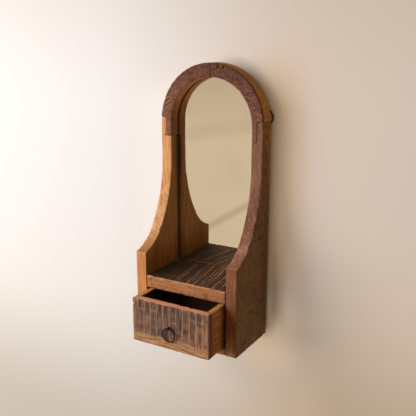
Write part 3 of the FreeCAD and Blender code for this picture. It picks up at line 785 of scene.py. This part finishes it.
# %% [markdown]
# Both side boards keep a dark weathered face on the outside, where the nails of the shelf and the floor show.
# Weather works in layers, and so does the finish: grey streaks first, then reddish patches, wood bared along
# the back edge, grime, fibres and grit, the scratches of the saw, scrapes, and a few deep scars. In these
# masks x, y and z are metres on the board, so z.rise(0.30, 0.37) begins 30 cm above the bottom of the case.

# %% Weathered face
SCAR = tone(24, 14, 6)
HIGH_TINT = (1.45, 1.27, 1.08, 1)


def weathered_face(nodes, colour, tones, fibres, seed, scars):
    """The old outside over fresh wood. A scar has a place in Y and Z, half a length and a slope."""
    x, y, z = nodes.place()
    streak = nodes.noise((x, y, z * 0.08), 150.0, 4.0, 0.6)
    fibre = nodes.noise((x + seed, y, z * 0.06), 430.0, 4.0, 0.7)
    grime = nodes.noise((x, y, z * 0.5), 30.0, 4.0, 0.6)
    grit = nodes.noise((x, y, z * 0.55), 210.0, 5.0, 0.72)
    patches = nodes.noise((x + seed, y, z * 0.4), 42.0, 3.0, 0.55)
    scrape = nodes.noise((x, y * 0.16, z + y * 0.15), 230.0, 3.0, 0.6)
    scratches, _ = saw_lines(nodes, sharpness=18.0, seed=seed)
    bared = y.rise(0.045, 0.060) * (0.35 + z.rise(0.20, 0.36) * 0.4) * streak.rise(0.35, 0.6)
    old = nodes.layers(
        nodes.mix(streak.rise(0.3, 0.7), *tones),
        (patches.rise(0.46, 0.64) * 0.65, tone(130, 78, 42)),
        (bared, tone(176, 104, 40)),
        (grime.rise(0.45, 0.75) * 0.6, tone(70, 49, 26)),
        (fibre.rise(0.50, 0.62) * fibres, tone(52, 35, 18)),
        (fibre.fall(0.36, 0.46) * fibres * 0.8, tone(170, 124, 70)),
        (grit.fall(0.36, 0.48) * (0.75 - fibres), tone(164, 122, 72)),
        (grit.rise(0.53, 0.66) * 0.6, tone(46, 31, 17)),
        (scratches * grit.rise(0.4, 0.6) * 0.4, tone(166, 118, 68)),
        (scrape.rise(0.58, 0.65) * (0.7 - fibres * 0.5), tone(40, 26, 14)),
    )
    for scar_y, scar_z, half, slope in scars:
        along = abs((y - scar_y) / half)
        off = abs(z - scar_z - (y - scar_y) * slope + (grit - 0.5) * 0.007)
        old = nodes.mix(along.fall(0.5, 1.0) * off.fall(0.001, 0.003) * 0.9, old, SCAR)
    old = nodes.mix(y.rise(0.015, 0.050) * z.fall(0.16, 0.30) * 0.45, old, tone(30, 18, 0))
    old = nodes.tint(z.rise(0.30, 0.37), old, HIGH_TINT)
    return nodes.mix(nodes.attribute("old_face") * (0.9 + streak * 0.1), colour, old)


print("weathered face ready")

# %% [markdown]
# Inside, the boards get painted shade towards the glass, and most of all in the rabbet that holds it, with
# more low down and full shade below the shelf. A gradient along the depth does most of it. The rabbet's
# wall, its step and the small ledge on which the glass stands are told apart by their places.

# %% Painted shade inside
PAINTED_SHADE = tone(34, 15, 2)
INSIDE_TINT = tone(255, 246, 200)
MOST_PAINTED_SHADE = 0.885


def paint_shade_inside(nodes, colour):
    """Paints shade on the inner face of a side board."""
    x, y, z = nodes.place()
    from_middle = abs(x)
    ledge = z.rise(0.118, 0.120) * z.fall(0.126, 0.128) * y.fall(0.0585, 0.0595)
    step = ledge.at_least(y.fall(0.050, 0.052)) * y.rise(0.0470, 0.0478) * from_middle.fall(0.0925, 0.0940)
    inside = (nodes.attribute("inner_face") * from_middle.fall(0.094, 0.096)).at_least(step)
    high = z.rise(0.22, 0.36)
    rabbet = (from_middle - (1 - high) * 0.0025).rise(0.0865, 0.0885)
    # Painted shade: a little over all the inner face, more towards the glass, in the rabbet and low down.
    painted_shade_share = 0.2 + y.rise(0.026, 0.050) * (0.25 + high * 0.25) + y.rise(0.042, 0.049) * high * 0.25
    painted_shade_share = painted_shade_share + rabbet * 0.7 + z.fall(0.125, 0.17) * 0.12
    painted_shade_share = painted_shade_share.at_most(MOST_PAINTED_SHADE).at_least(z.fall(0.097, 0.0995))
    return nodes.mix(inside * painted_shade_share, nodes.tint(inside, colour, INSIDE_TINT), PAINTED_SHADE)


print("soot ready")

# %% [markdown]
# The left side board was cut from a golden piece with upright grain, and the right one from a redder piece
# with a mauve cast. Neither is one colour from top to bottom: a tint from each of some heights downwards
# makes a board paler and darker by turns. On the right board most of them are painted light and shade: they
# lighten the foot that lies in the drawer's shadow and soften the shadow's upper edge. The shoulder of each
# board, where the curve faces up, gets a painted highlight.

# %% Side boards
SIDE_RINGS = 0.0045
GOLDEN = (tone(172, 106, 56), tone(218, 157, 102), tone(240, 192, 144))
MAUVE = (tone(82, 53, 42), tone(125, 87, 70), tone(156, 115, 94))
LEFT_OLD = (tone(100, 68, 38), tone(140, 98, 58))
RIGHT_OLD = (tone(86, 62, 28), tone(126, 92, 44))
LEFT_TINTS = (((0.24, 0.30), (0.95, 1.03, 1.22, 1)), ((0.14, 0.19), (0.88, 0.69, 0.51, 1)))
# Mostly painted light and shade round the drawer's shadow on the right board's front leg.
RIGHT_TINTS_AND_PAINTED_LIGHT = (((0.28, 0.34), (1.15, 1.10, 1.08, 1)), ((0.20, 0.25), (0.88, 0.91, 0.93, 1)),
               ((0.14, 0.19), (1.45, 1.276, 1.0, 1)), ((0.10, 0.15), (0.66, 0.70, 0.74, 1)),
               ((0.075, 0.10), (1.75, 1.55, 1.0, 1)), ((0.0, 0.06), (2.2, 2.5, 3.2, 1)))
LEFT_SHOULDER_HIGHLIGHT = (1.08, 1.02, 1.0, 1)
RIGHT_SHOULDER_HIGHLIGHT = (2.15, 2.25, 2.5, 1)
RIGHT_SCARS = ((0.028, 0.2030, 0.018, 0.02), (0.036, 0.0775, 0.015, -0.04), (0.002, 0.0630, 0.007, 0.41),
               (-0.035, 0.0167, 0.012, 0.07), (0.030, 0.0383, 0.003, 0.0))


def side_finish(name, tones, old_tones, tints_and_painted_light, shoulder_highlight, heart, seed, fibres, scars=()):
    """Fresh wood on the cut edges, an old dark face outside, painted shade inside, and tints by height that
    carry painted light and shade.
    """
    nodes = new_finish(name)
    colour, height = fresh_wood(nodes, "Z", tones, SIDE_RINGS, heart, seed, end_dark=0.3)
    _, _, z = nodes.place()
    # Tints by height; on the right board they are mostly painted light and shade round the drawer's shadow.
    for reach, tint in tints_and_painted_light:
        colour = nodes.tint(z.fall(*reach), colour, tint)
    # A painted highlight on the shoulder, where the curve faces up.
    colour = nodes.tint(nodes.facing(AXIS["Z"]).rise(0.55, 0.75) * 0.9, colour, shoulder_highlight)
    colour = nodes.layers(
        weathered_face(nodes, colour, old_tones, fibres, seed, scars),
        (nodes.attribute("edge_wear") * 0.3, tones[0]),
        (nodes.attribute("dark_spots") * 0.8, IRON_STAIN),
    )
    return close_finish(nodes, paint_shade_inside(nodes, colour), 0.74 - height * 0.1, height)


golden_side = side_finish("golden_side_wood", GOLDEN, LEFT_OLD, LEFT_TINTS, LEFT_SHOULDER_HIGHLIGHT,
                          heart=(-0.05, 0.14), seed=1.0, fibres=0.7)
mauve_side = side_finish("mauve_side_wood", MAUVE, RIGHT_OLD, RIGHT_TINTS_AND_PAINTED_LIGHT, RIGHT_SHOULDER_HIGHLIGHT,
                         heart=(0.16, 0.12), seed=2.0, fibres=0.2, scars=RIGHT_SCARS)
print("side finishes:", golden_side.name, mauve_side.name)

# %% Dress the side boards
SIDE_SIZES = {"cell": 0.0011, "saw_across": (0, 0.35, 0.94), "saw_pitch": 0.011, "saw_depth": 0.00025,
              "sway": 1.2, "pit_depth": 0.0005, "pit_size": 0.006}
LEFT_HOLES = [(-0.0985, 0.029, 0.3765)]
RIGHT_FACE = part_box("side_right")[1][0]
RIGHT_HOLES = ((-0.0015, 0.0656), (0.0005, 0.0676), (0.0285, 0.049), (-0.032, 0.0164), (-0.030, 0.0184),
               (-0.034, 0.0150), (0.025, 0.202), (0.0275, 0.2025))
dress_board("side_left", golden_side, "side_wood", old_face=(-1, 0, 0), inner_face=(1, 0, 0), seed=1.3,
            holes=LEFT_HOLES, **SIDE_SIZES)
dress_board("side_right", mauve_side, "side_wood", old_face=(1, 0, 0), inner_face=(-1, 0, 0), seed=4.1,
            holes=[(RIGHT_FACE, *place) for place in RIGHT_HOLES], **SIDE_SIZES)

# %% [markdown]
# The arch was sawn in two halves from one old plank. Its face kept a purple brown skin with fine pits, which
# goes darker towards the crown and has one patch of curly grain on the left.

# %% Skin of the arch
CURLY_SPOT = (-0.098, 0.441)
CURLY_TURNS = 850.0


def arch_skin(nodes, seed, tones, speckle):
    """The old skin of the arch's face, and the mottle that its relief follows too."""
    x, y, z = nodes.place()
    curl = nodes.noise((x * 0.35 + seed, y, z), 210.0, 4.0, 0.6, 0.9)
    mottle = nodes.noise((x + seed, y, z), 400.0, 4.0, 0.75)
    bloom = nodes.noise((x + seed, y, z), 38.0, 3.0, 0.6)
    curly = slant(x - CURLY_SPOT[0], z - CURLY_SPOT[1]).fall(0.006, 0.020)
    crest = ((z * 0.85 - x * 0.5) * CURLY_TURNS + curl * 5.0).math("SINE")
    old = nodes.layers(
        nodes.mix(curl.rise(0.3, 0.72), *tones),
        (mottle.rise(0.50, 0.60) * speckle, tone(52, 34, 32)),
        (mottle.fall(0.36, 0.46) * speckle, tone(182, 138, 116)),
        (crest.rise(0.1, 0.9) * curly * 0.6, tone(168, 116, 92)),
        (crest.fall(-0.9, -0.1) * curly * 0.6, tone(70, 42, 34)),
        (bloom.rise(0.5, 0.8) * 0.35, tone(112, 82, 80)),
        (z.rise(0.455, 0.505) * 0.40, tone(66, 44, 38)),
        (z.fall(0.39, 0.44) * 0.2, tone(168, 118, 96)),
    )
    return old, mottle


print("arch skin ready")

# %% [markdown]
# The sawn rim and the inside of the arch show the orange wood beneath. The distance from the middle of the
# arch tells them apart: the rim is dark along the front, and the inside gets painted shade low down, a
# painted highlight at the crown and painted shade in the corner at the glass.

# %% Arch halves
ORANGE = (tone(160, 94, 36), tone(214, 142, 68), tone(236, 176, 98))
LEFT_SKIN = (tone(86, 54, 44), tone(150, 101, 82))
RIGHT_SKIN = (tone(82, 51, 41), tone(138, 94, 76))
ARCH_CENTRE = 0.402
ARCH_SIZES = {"cell": 0.0008, "old_face": (0, -1, 0), "pit_size": 0.0045}


def arch_finish(name, skin_tones, seed, speckle):
    """Orange sawn wood under the old skin."""
    nodes = new_finish(name)
    colour, height = fresh_wood(nodes, "X", ORANGE, ring_pitch=0.007, heart=(0.30, 0.36), seed=seed,
                                end_dark=0.0)
    old, mottle = arch_skin(nodes, seed, skin_tones, speckle)
    x, y, z = nodes.place()
    radius = slant(x, (z - ARCH_CENTRE).at_least(0.0))
    under = radius.fall(0.0865, 0.0885)
    rim_front = radius.rise(0.100, 0.105) * y.fall(0.032, 0.037)
    from_seam = abs(x).rise(0.001, 0.005)
    seam = (1 - from_seam) * y.fall(0.031, 0.034)
    dark_edge = 0.15 + from_seam * (0.08 + z.rise(0.399, 0.404) * 0.22)
    colour = nodes.layers(
        colour,
        (radius.rise(0.096, 0.106) * 0.2, tone(92, 50, 16)),
        (y.rise(0.060, 0.0615) * 0.6, tone(126, 88, 54)),
        # Painted shade low inside the arch, and a painted highlight at its crown.
        (under * z.fall(0.395, 0.455) * 0.5, tone(58, 30, 8)),
        (under * z.rise(0.42, 0.47) * 0.4, tone(244, 196, 140)),
        (rim_front * 0.85, tone(62, 34, 17)),
        (nodes.attribute("old_face").at_least(seam), old),
        (nodes.attribute("edge_wear") * dark_edge, tone(48, 30, 20)),
        # Painted shade in the corner at the glass.
        (y.rise(0.047, 0.0535) * under * 0.9, PAINTED_SHADE),
        (nodes.attribute("dark_spots"), IRON_STAIN),
    )
    return close_finish(nodes, colour, 0.78 - mottle * 0.1, height + mottle * 0.6)


left_arch = arch_finish("arch_wood_left", LEFT_SKIN, seed=1.0, speckle=0.4)
right_arch = arch_finish("arch_wood_right", RIGHT_SKIN, seed=3.0, speckle=0.55)
dress_board("arch_left", left_arch, "arch_wood", pit_depth=0.00025, seed=7.7, holes=[(-0.032, 0.029, 0.5065)],
            **ARCH_SIZES)
dress_board("arch_right", right_arch, "arch_wood", pit_depth=0.0003, seed=9.2, **ARCH_SIZES)

# %% [markdown]
# A small block of paler wood was let into the crown of the arch to mend a bad spot, with a slit left open on
# each side of it. It is so small that its skin needs finer squares and gentler wear.

# %% Crown patch
PALE = (tone(124, 78, 46), tone(168, 112, 70), tone(196, 142, 94))
patch = plain_board_finish("patch_wood_finish", "Y", PALE, ring_pitch=0.003, heart=(0.1, 0.3), seed=5.0)
dress_board("crown_patch", patch, "patch_wood", cell=0.0004, wear_depth=0.0002, chip_depth=0.0003,
            wear_reach=0.001)

# %% [markdown]
# The shelf's upper face is the dark side of an old plank. The saw crossed it nearly along its depth, and each
# stroke that cut below the dark skin shows as a tan line, ragged and broken where the skin was hollow. Along
# the glass a strip was rubbed bare. The left part gets a painted shadow of the left side board, and the lines
# are painted brighter towards the right and at the back right, as painted light.

# %% Top of the shelf
def shelf_top(nodes, cloud):
    """The dark upper face with its saw lines, a painted shadow on the left and painted light on the right."""
    x, y, z = nodes.place()
    flow = nodes.noise((x, y * 0.15, z), 260.0, 4.0, 0.6)
    fray = (nodes.noise((x, y * 0.45, z), 330.0, 3.0, 0.7) - 0.5) * 0.42
    line, _ = saw_lines(nodes, sharpness=22.0, seed=6.0, ragged=fray)
    length = nodes.noise((x * 3.0, y * 0.6, z), 60.0).rise(0.40, 0.56)
    gaps = nodes.noise((x * 2.0, y, z), 150.0).rise(0.40, 0.56)
    # Painted light: the lines grow brighter towards the right and at the back right.
    painted_light_right = y.rise(-0.03, 0.02) * x.rise(-0.02, 0.03)
    shown = line * (0.3 + length * 0.9 + painted_light_right * 1.1) * (0.75 + x.rise(-0.06, 0.03) * 0.5)
    rubbed = y.rise(0.0500, 0.0515) * y.fall(0.0535, 0.055) * cloud.rise(0.40, 0.55) * x.rise(-0.080, -0.050)
    return nodes.layers(
        nodes.mix(flow.rise(0.36, 0.64), tone(32, 19, 13), tone(104, 74, 58)),
        (cloud.rise(0.45, 0.75) * 0.4, tone(56, 44, 38)),
        # Painted shadow of the left side board.
        (x.fall(-0.06, 0.02) * 0.65, tone(20, 8, 1)),
        (shown * (0.55 + gaps * 0.6), tone(232, 178, 138)),
        (rubbed * 0.6, tone(170, 112, 56)),
    )


print("shelf top ready")

# %% [markdown]
# Its front edge was cut fresh and chipped on the way, so it is tan with scuffs and a pale lip, and three fine
# splits run up from below.

# %% Shelf
TAN = (tone(132, 82, 49), tone(175, 117, 76), tone(204, 149, 103))
SPLITS = (0.041, 0.0445, 0.0475)


def shelf_finish():
    """Fresh tan edges under the dark upper face."""
    nodes = new_finish("shelf_wood_finish")
    colour, height = fresh_wood(nodes, "X", TAN, ring_pitch=0.006, heart=(0.16, 0.30), seed=6.0,
                                contrast=0.08)
    x, y, z = nodes.place()
    cloud = nodes.noise((x, y, z), 26.0, 3.0, 0.6)
    scuff = nodes.noise((x * 0.5, y, z), 420.0, 4.0, 0.7)
    lip = (z + (cloud - 0.5) * 0.010).rise(0.119, 0.123) * scuff.rise(0.40, 0.52)
    colour = nodes.layers(
        colour,
        (scuff.rise(0.5, 0.62) * 0.45, tone(112, 70, 42)),
        (scuff.fall(0.38, 0.46) * 0.5, tone(222, 172, 128)),
        (lip * 0.7, tone(232, 190, 152)),
        (x.rise(-0.02, 0.06) * 0.22, TAN[0]),
    )
    for place in SPLITS:
        off = abs(x - place + (scuff - 0.5) * 0.003)
        split = off.fall(0.0003, 0.0012) * z.fall(0.110, 0.115) * y.fall(-0.055, -0.050)
        colour = nodes.mix(split * 0.75, colour, tone(66, 38, 22))
    colour = nodes.layers(
        colour,
        (nodes.attribute("old_face"), shelf_top(nodes, cloud)),
        (nodes.attribute("edge_wear").rise(0.28, 0.6) * 0.85, tone(232, 190, 150)),
        (nodes.attribute("dark_spots"), IRON_STAIN),
    )
    return close_finish(nodes, colour, 0.76 - height * 0.1, height)


dress_board("shelf", shelf_finish(), "shelf_wood", cell=0.0009, old_face=(0, 0, 1), seed=2.6,
            saw_across=(0.986, 0.165, 0), saw_pitch=0.0088, saw_depth=0.0004, sway=0.8, uneven=1.0,
            stroke_break=17.0, fine_share=0.12, chip_depth=0.0040, chip_size=0.0050, wear_reach=0.0045,
            holes=[(-0.075, -0.062, 0.1166)])

# %% [markdown]
# The drawer front is the showpiece: an old board crossed by upright saw bands, with blue grey paint left in
# the hollows and a rubbed orange foot. The paint is a threshold on noise that is drawn anew for each band, so
# that it breaks off at the saw lines, with faint rows across as a brush would leave them.

# %% Face of the drawer front
ROW_PITCH = 0.0145


def painted_face(nodes):
    """What is left of the paint, and the bare wood between."""
    x, _, z = nodes.place()
    line, band = saw_lines(nodes, sharpness=26.0, seed=3.0, even=0.6)
    blocks = nodes.noise((band * 3.7, x * 0.6, z), 64.0)
    ragged = nodes.noise((x, 0.3, z * 0.4), 240.0, 3.0, 0.6)
    hair = nodes.noise((x, 0.5, z * 0.05), 520.0, 4.0, 0.75)
    rub = nodes.noise((x * 0.12, 0.1, z), 330.0, 4.0, 0.65)
    from_middle = abs(x)
    high = z.rise(0.064, 0.078)
    low_left = x.fall(-0.02, 0.035) * z.fall(0.050, 0.066)
    low_right = x.rise(0.02, 0.045) * z.fall(0.052, 0.068)
    shift = (ragged - 0.5) * 0.15 + (hair - 0.5) * 0.35 + high * 0.17 + low_left * 0.12 - low_right * 0.08
    rows = (z * (FULL_TURN / ROW_PITCH) + (blocks - 0.5) * 3.0).math("COSINE") * (0.03 + high * 0.06)
    paint = (blocks + shift + rows + from_middle.fall(0.02, 0.06) * 0.15 - 0.10).rise(0.42, 0.58)
    bare = nodes.mix(hair.rise(0.40, 0.60) * (0.8 + high * 0.2), tone(88, 63, 49), tone(184, 138, 110))
    film = nodes.mix(hair.rise(0.40, 0.66), tone(54, 47, 47), tone(130, 104, 92))
    rubbed = nodes.mix(rub.rise(0.40, 0.64), tone(206, 154, 112), tone(132, 90, 60))
    foot_line = z + (ragged - 0.5) * 0.012 + (blocks - 0.5) * 0.012
    brow = foot_line.rise(0.025, 0.029) * foot_line.fall(0.029, 0.034)
    ends = (from_middle + (ragged - 0.5) * 0.01).rise(0.070, 0.077)
    return nodes.layers(
        nodes.mix(paint * 0.85, bare, film),
        (line * (0.32 + high * 0.13 + ragged * 0.5), tone(212, 160, 124)),
        (foot_line.fall(0.024, 0.030), rubbed),
        (brow * 0.6, tone(204, 158, 118)),
        (ends * 0.5, tone(176, 130, 98)),
    )


print("painted face ready")

# %% [markdown]
# Its edges are fresh and pinkish where it was cut to size, and its end grain, which drinks up dirt, is nearly
# black brown, made darker still with painted shade on its ends.

# %% Drawer front
ROSE = (tone(182, 118, 88), tone(230, 162, 127), tone(242, 188, 154))


def drawer_front_finish():
    """Rose cut edges round the painted face."""
    nodes = new_finish("drawer_front_finish")
    # End grain nearly black: partly dirt, partly painted shade.
    colour, height = fresh_wood(nodes, "X", ROSE, ring_pitch=0.006, heart=(0.08, 0.22), seed=7.0,
                                end_dark=0.97)
    colour = nodes.layers(
        colour,
        (nodes.attribute("old_face"), painted_face(nodes)),
        (nodes.attribute("edge_wear") * 0.35, tone(176, 118, 84)),
        (nodes.attribute("dark_spots") * 0.2, IRON_STAIN),
    )
    return close_finish(nodes, colour, 0.74 - height * 0.1, height)


dress_board("drawer_front", drawer_front_finish(), "drawer_wood", cell=0.0008, old_face=(0, -1, 0),
            saw_across=(1, 0, 0), saw_pitch=0.0138, saw_depth=0.0004, sway=0.35, chip_depth=0.0018, seed=3.4)

# %% [markdown]
# The rest of the drawer, the floor of the case and the board behind the drawer are plain sawn wood, each from
# its own plank, so each gets its own rings and tone. The drawer is made nearly black inside, so its inner
# faces are marked as the ones that take that dark colour.

# %% Plain boards
BROWN = (tone(110, 58, 27), tone(170, 104, 55), tone(226, 164, 106))
HONEY = (tone(176, 114, 66), tone(224, 160, 104), tone(240, 190, 136))
NEAR_BLACK = tone(26, 18, 15)
# The drawer's sides get a painted highlight where they face up.
drawer_side_wood = plain_board_finish("drawer_side_finish", "Y", BROWN, ring_pitch=0.006, heart=(0.2, 0.12),
                                      seed=8.0, dark_face=NEAR_BLACK, edge=2, upper=0.6)
drawer_back_wood = plain_board_finish("drawer_back_finish", "X", ROSE, ring_pitch=0.006, heart=(0.2, 0.2),
                                      seed=9.0, dark_face=NEAR_BLACK)
floor_wood = plain_board_finish("floor_board_finish", "X", HONEY, ring_pitch=0.007, heart=(0.1, 0.2),
                                seed=10.0)
bay_wood = plain_board_finish("bay_board_finish", "X", BROWN, ring_pitch=0.007, heart=(0.3, 0.2), seed=11.0)
thin_wood = plain_board_finish("drawer_floor_finish", "X", TAN, ring_pitch=0.005, heart=(0.1, 0.15),
                               seed=12.0, dark_face=NEAR_BLACK)
dress_board("drawer_side_left", drawer_side_wood, "drawer_wood", old_face=(1, 0, 0), seed=11.0)
dress_board("drawer_side_right", drawer_side_wood, "drawer_wood", old_face=(-1, 0, 0), seed=12.0)
dress_board("drawer_back", drawer_back_wood, "drawer_wood", old_face=(0, -1, 0), seed=13.0)
dress_board("drawer_bottom", thin_wood, "panel_board", cell=0.0011, old_face=(0, 0, 1), wear_depth=0.0002,
            chip_depth=0.0004, seed=14.0)
dress_board("bottom_board", floor_wood, "side_wood", cell=0.0011, seed=15.0)
dress_board("bay_back", bay_wood, "panel_board", cell=0.0011, seed=16.0)

# %% [markdown]
# The mirror is a sheet of silvered glass. Only its front is seen, so one metal shader with hardly any
# roughness does for glass and silver together, with faint dust that makes it a little duller in patches. The
# iron is dark with fine scale and rust, and the panel behind the glass is hardboard, pressed from fibres that
# lie every way. These solids keep their shape from the CAD model and only get a finish.

# %% Mirror, iron and hardboard
FINE_BUMP = 0.0002


def mirror_finish():
    """Silvered glass with faint dust."""
    nodes = new_finish("silvered_glass")
    dust = nodes.noise(nodes.place(), 24.0, 4.0, 0.6)
    colour = nodes.mix(dust.rise(0.4, 0.8) * 0.5, (0.90, 0.91, 0.89, 1), (0.84, 0.85, 0.83, 1))
    return close_finish(nodes, colour, 0.012 + dust * 0.02, metallic=1.0)


def iron_finish(name, dark, rust, share):
    """Metal with fine scale, and rust over a share of its spots."""
    nodes = new_finish(name)
    scale = nodes.noise(nodes.place(), 900.0, 3.0, 0.6)
    spots = nodes.noise(nodes.place(), 320.0, 4.0, 0.6).rise(0.5, 0.7)
    colour = nodes.mix(scale.rise(0.3, 0.7), dark, times(dark, 2.2))
    colour = nodes.mix(spots * share, colour, rust)
    return close_finish(nodes, colour, 0.45 + spots * 0.3, scale, bump=FINE_BUMP, metallic=0.5)


def hardboard_finish():
    """One even brown with short fibres that lie and stand, and a few rubbed clouds."""
    nodes = new_finish("hardboard_finish")
    x, y, z = nodes.place()
    lying = nodes.noise((x * 0.25, y, z), 640.0, 3.0, 0.6)
    standing = nodes.noise((x, y, z * 0.25), 640.0, 3.0, 0.6)
    cloud = nodes.noise((x, y, z), 14.0, 4.0, 0.55)
    colour = nodes.layers(
        nodes.mix(lying.rise(0.35, 0.65), tone(108, 76, 48), tone(142, 104, 68)),
        (standing.rise(0.52, 0.68) * 0.5, tone(90, 62, 40)),
        (cloud.rise(0.5, 0.75) * 0.4, tone(152, 116, 80)),
    )
    return close_finish(nodes, colour, 0.62 + cloud * 0.15, lying + standing, bump=FINE_BUMP)


print("finishes ready")

# %% Solids that keep their shape
black_iron = iron_finish("black_iron_finish", dark=tone(22, 19, 18), rust=tone(54, 34, 24), share=0.4)
nail_iron = iron_finish("nail_iron_finish", dark=tone(70, 54, 45), rust=tone(102, 66, 42), share=0.7)
zinc = iron_finish("zinc_finish", dark=tone(120, 122, 124), rust=tone(130, 110, 90), share=0.2)
dowel_wood = plain_board_finish("dowel_finish", "X", PALE, ring_pitch=0.003, heart=(0.0, 0.4), seed=15.0)
kept_solids = {
    "mirror_glass": mirror_finish(),
    "back_panel": hardboard_finish(),
    "glazing_points": zinc,
    "crown_dowels": dowel_wood,
    "pull_eye": black_iron,
    "hanger_eye_left": black_iron,
    "hanger_eye_right": black_iron,
}
for node, finish in kept_solids.items():
    slots = frame["nodes"][node].data.materials
    slots.clear()
    slots.append(finish)
print("solids with a finish:", len(kept_solids))

# %% [markdown]
# The boards are held by cut nails, which have a square tapering shank and a flat lens of a head that the
# hammer has dented. Modelling one and copying it by hand would do for a dozen, but these differ in length and
# direction. So a tree sets a head and a shank on bare points that carry each nail's own measures, taken from
# the solids, and turns each by a random angle.

# %% The nail tree
nail, nail_in, nail_id = new_tree("cut_nails", {
    "Finish": "Material", "Dome": 0.35, "Tip": 0.3, "Dent": 0.00015, "Seed": 5,
})


def measure(name, kind="FLOAT"):
    return nail.node("GeometryNodeInputNamedAttribute", {"Name": name}, data_type=kind)


def on_points(points, shape, way, wide, long):
    """A shape on each point, turned with its Z along a way and by a random angle about it, and stretched."""
    along = nail.node("FunctionNodeAlignRotationToVector", {"Vector": way}, axis="Z")
    spin = nail.node("FunctionNodeRandomValue", {3: FULL_TURN, "Seed": nail_in("Seed")}, 1, data_type="FLOAT")
    about = {"Rotation": along, "Rotate By": nail.vector(0.0, 0.0, spin)}
    turned = nail.node("FunctionNodeRotateRotation", about, rotation_space="LOCAL")
    size = nail.vector(wide, wide, long)
    sockets = {"Points": points, "Instance": shape, "Rotation": turned, "Scale": size}
    return nail.node("GeometryNodeInstanceOnPoints", sockets)


out = measure("out", "FLOAT_VECTOR")
head_radius = measure("head_radius")
head_half = head_radius * nail_in("Dome")
sunk = {"Geometry": nail_in("Geometry"), "Offset": nail.scaled(out, head_half * -1.0)}
below = nail.node("GeometryNodeSetPosition", sunk)
lens = nail.node("GeometryNodeMeshUVSphere", {"Segments": 10, "Rings": 7, "Radius": 1.0})
taper = {"Vertices": 4, "Radius Top": nail_in("Tip"), "Radius Bottom": 1.0, "Depth": 1.0}
spike = nail.node("GeometryNodeMeshCone", taper)
heads = on_points(below, lens, out, head_radius, head_half)
shank_length = measure("length") - head_half
shanks = on_points(below, spike, nail.scaled(out, -1.0), measure("shank_radius"), shank_length)
both = nail.node("GeometryNodeJoinGeometry")
for made in (heads, shanks):
    nail.tree.links.new(made.socket, both.socket.node.inputs[0])
solid_nails = nail.node("GeometryNodeRealizeInstances", {"Geometry": both})
dents = nail.noise(nail.node("GeometryNodeInputPosition"), 900.0) * nail_in("Dent")
close_tree(nail, pushed(nail, solid_nails, dents * -1.0), nail_in("Finish"))

# %% Nails of the case and of the drawer
NAIL_MEASURES = {"out": "FLOAT_VECTOR", "length": "FLOAT", "head_radius": "FLOAT", "shank_radius": "FLOAT"}


def drive_nails(name, body, sources):
    """One mesh of all the nails in some nodes of a body."""
    found = [measures for node in sources for measures in nails[node]]
    mesh = bpy.data.meshes.new(name)
    mesh.from_pydata([measures[0] for measures in found], [], [])
    for place, (key, kind) in enumerate(NAIL_MEASURES.items(), start=1):
        field = "vector" if kind == "FLOAT_VECTOR" else "value"
        values = mesh.attributes.new(key, kind, "POINT").data
        for measures, value in zip(found, values):
            setattr(value, field, measures[place])
    piece = add_object(name, mesh)
    run_tree(piece, nail, nail_id, {"Finish": nail_iron})
    take_place(piece, body, "nail_iron", *sources)


drive_nails("case_nails", "case", CASE_NAILS)
drive_nails("drawer_nails", "drawer", DRAWER_NAILS)

# %% [markdown]
# The pull and the two hangers are rings of black wire, bent round a bar until the ends met, so each has a
# fine butt joint and is not quite round. A torus would be too perfect. A tree sweeps a wire round an arc that
# stops just short of closing, and dents it with noise. Its sizes are read off the solids.

# %% The ring tree
ring, ring_in, ring_id = new_tree("bent_ring", {
    "Finish": "Material", "Centre": (0, 0, 0), "Ring Radius": 0.0125, "Wire Radius": 0.00125,
    "Joint Turn": 3.6, "Joint Gap": 0.03, "Dent": 0.0003,
})
bow = {"Resolution": 96, "Radius": ring_in("Ring Radius"), "Start Angle": ring_in("Joint Turn")}
bow["Sweep Angle"] = FULL_TURN - ring_in("Joint Gap")
arc = ring.node("GeometryNodeCurveArc", bow, mode="RADIUS")
thick = {"Resolution": 14, "Radius": ring_in("Wire Radius")}
wire = ring.node("GeometryNodeCurvePrimitiveCircle", thick, mode="RADIUS")
tube = ring.node("GeometryNodeCurveToMesh", {"Curve": arc, "Profile Curve": wire, "Fill Caps": True})
hung = {"Geometry": tube, "Translation": ring_in("Centre"), "Rotation": (math.pi / 2, 0, 0)}
upright = ring.node("GeometryNodeTransform", hung)
spot = ring.node("GeometryNodeInputPosition")
bends = ring.noise(spot, 110.0, 1.0) + ring.noise(spot, 620.0) * 0.6 - 0.8
bent = pushed(ring, upright, bends * ring_in("Dent"))
close_tree(ring, ring.node("GeometryNodeSetShadeSmooth", {"Geometry": bent}), ring_in("Finish"))

# %% Rings
def hang_ring(node, joint_turn):
    """A bent ring in place of a round one."""
    low, high = (Vector(corner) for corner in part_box(node))
    wire_radius = (high.y - low.y) / 2
    sizes = {"Centre": (low + high) / 2, "Ring Radius": (high.x - low.x) / 2 - wire_radius,
             "Wire Radius": wire_radius, "Joint Turn": joint_turn}
    piece = add_object(node + "_wire", bpy.data.meshes.new(node + "_wire"))
    run_tree(piece, ring, ring_id, sizes | {"Finish": black_iron})
    take_place(piece, body_of[node], "black_iron", node)


hang_ring("pull_ring", joint_turn=3.6)
hang_ring("hanger_ring_left", joint_turn=5.2)
hang_ring("hanger_ring_right", joint_turn=4.1)
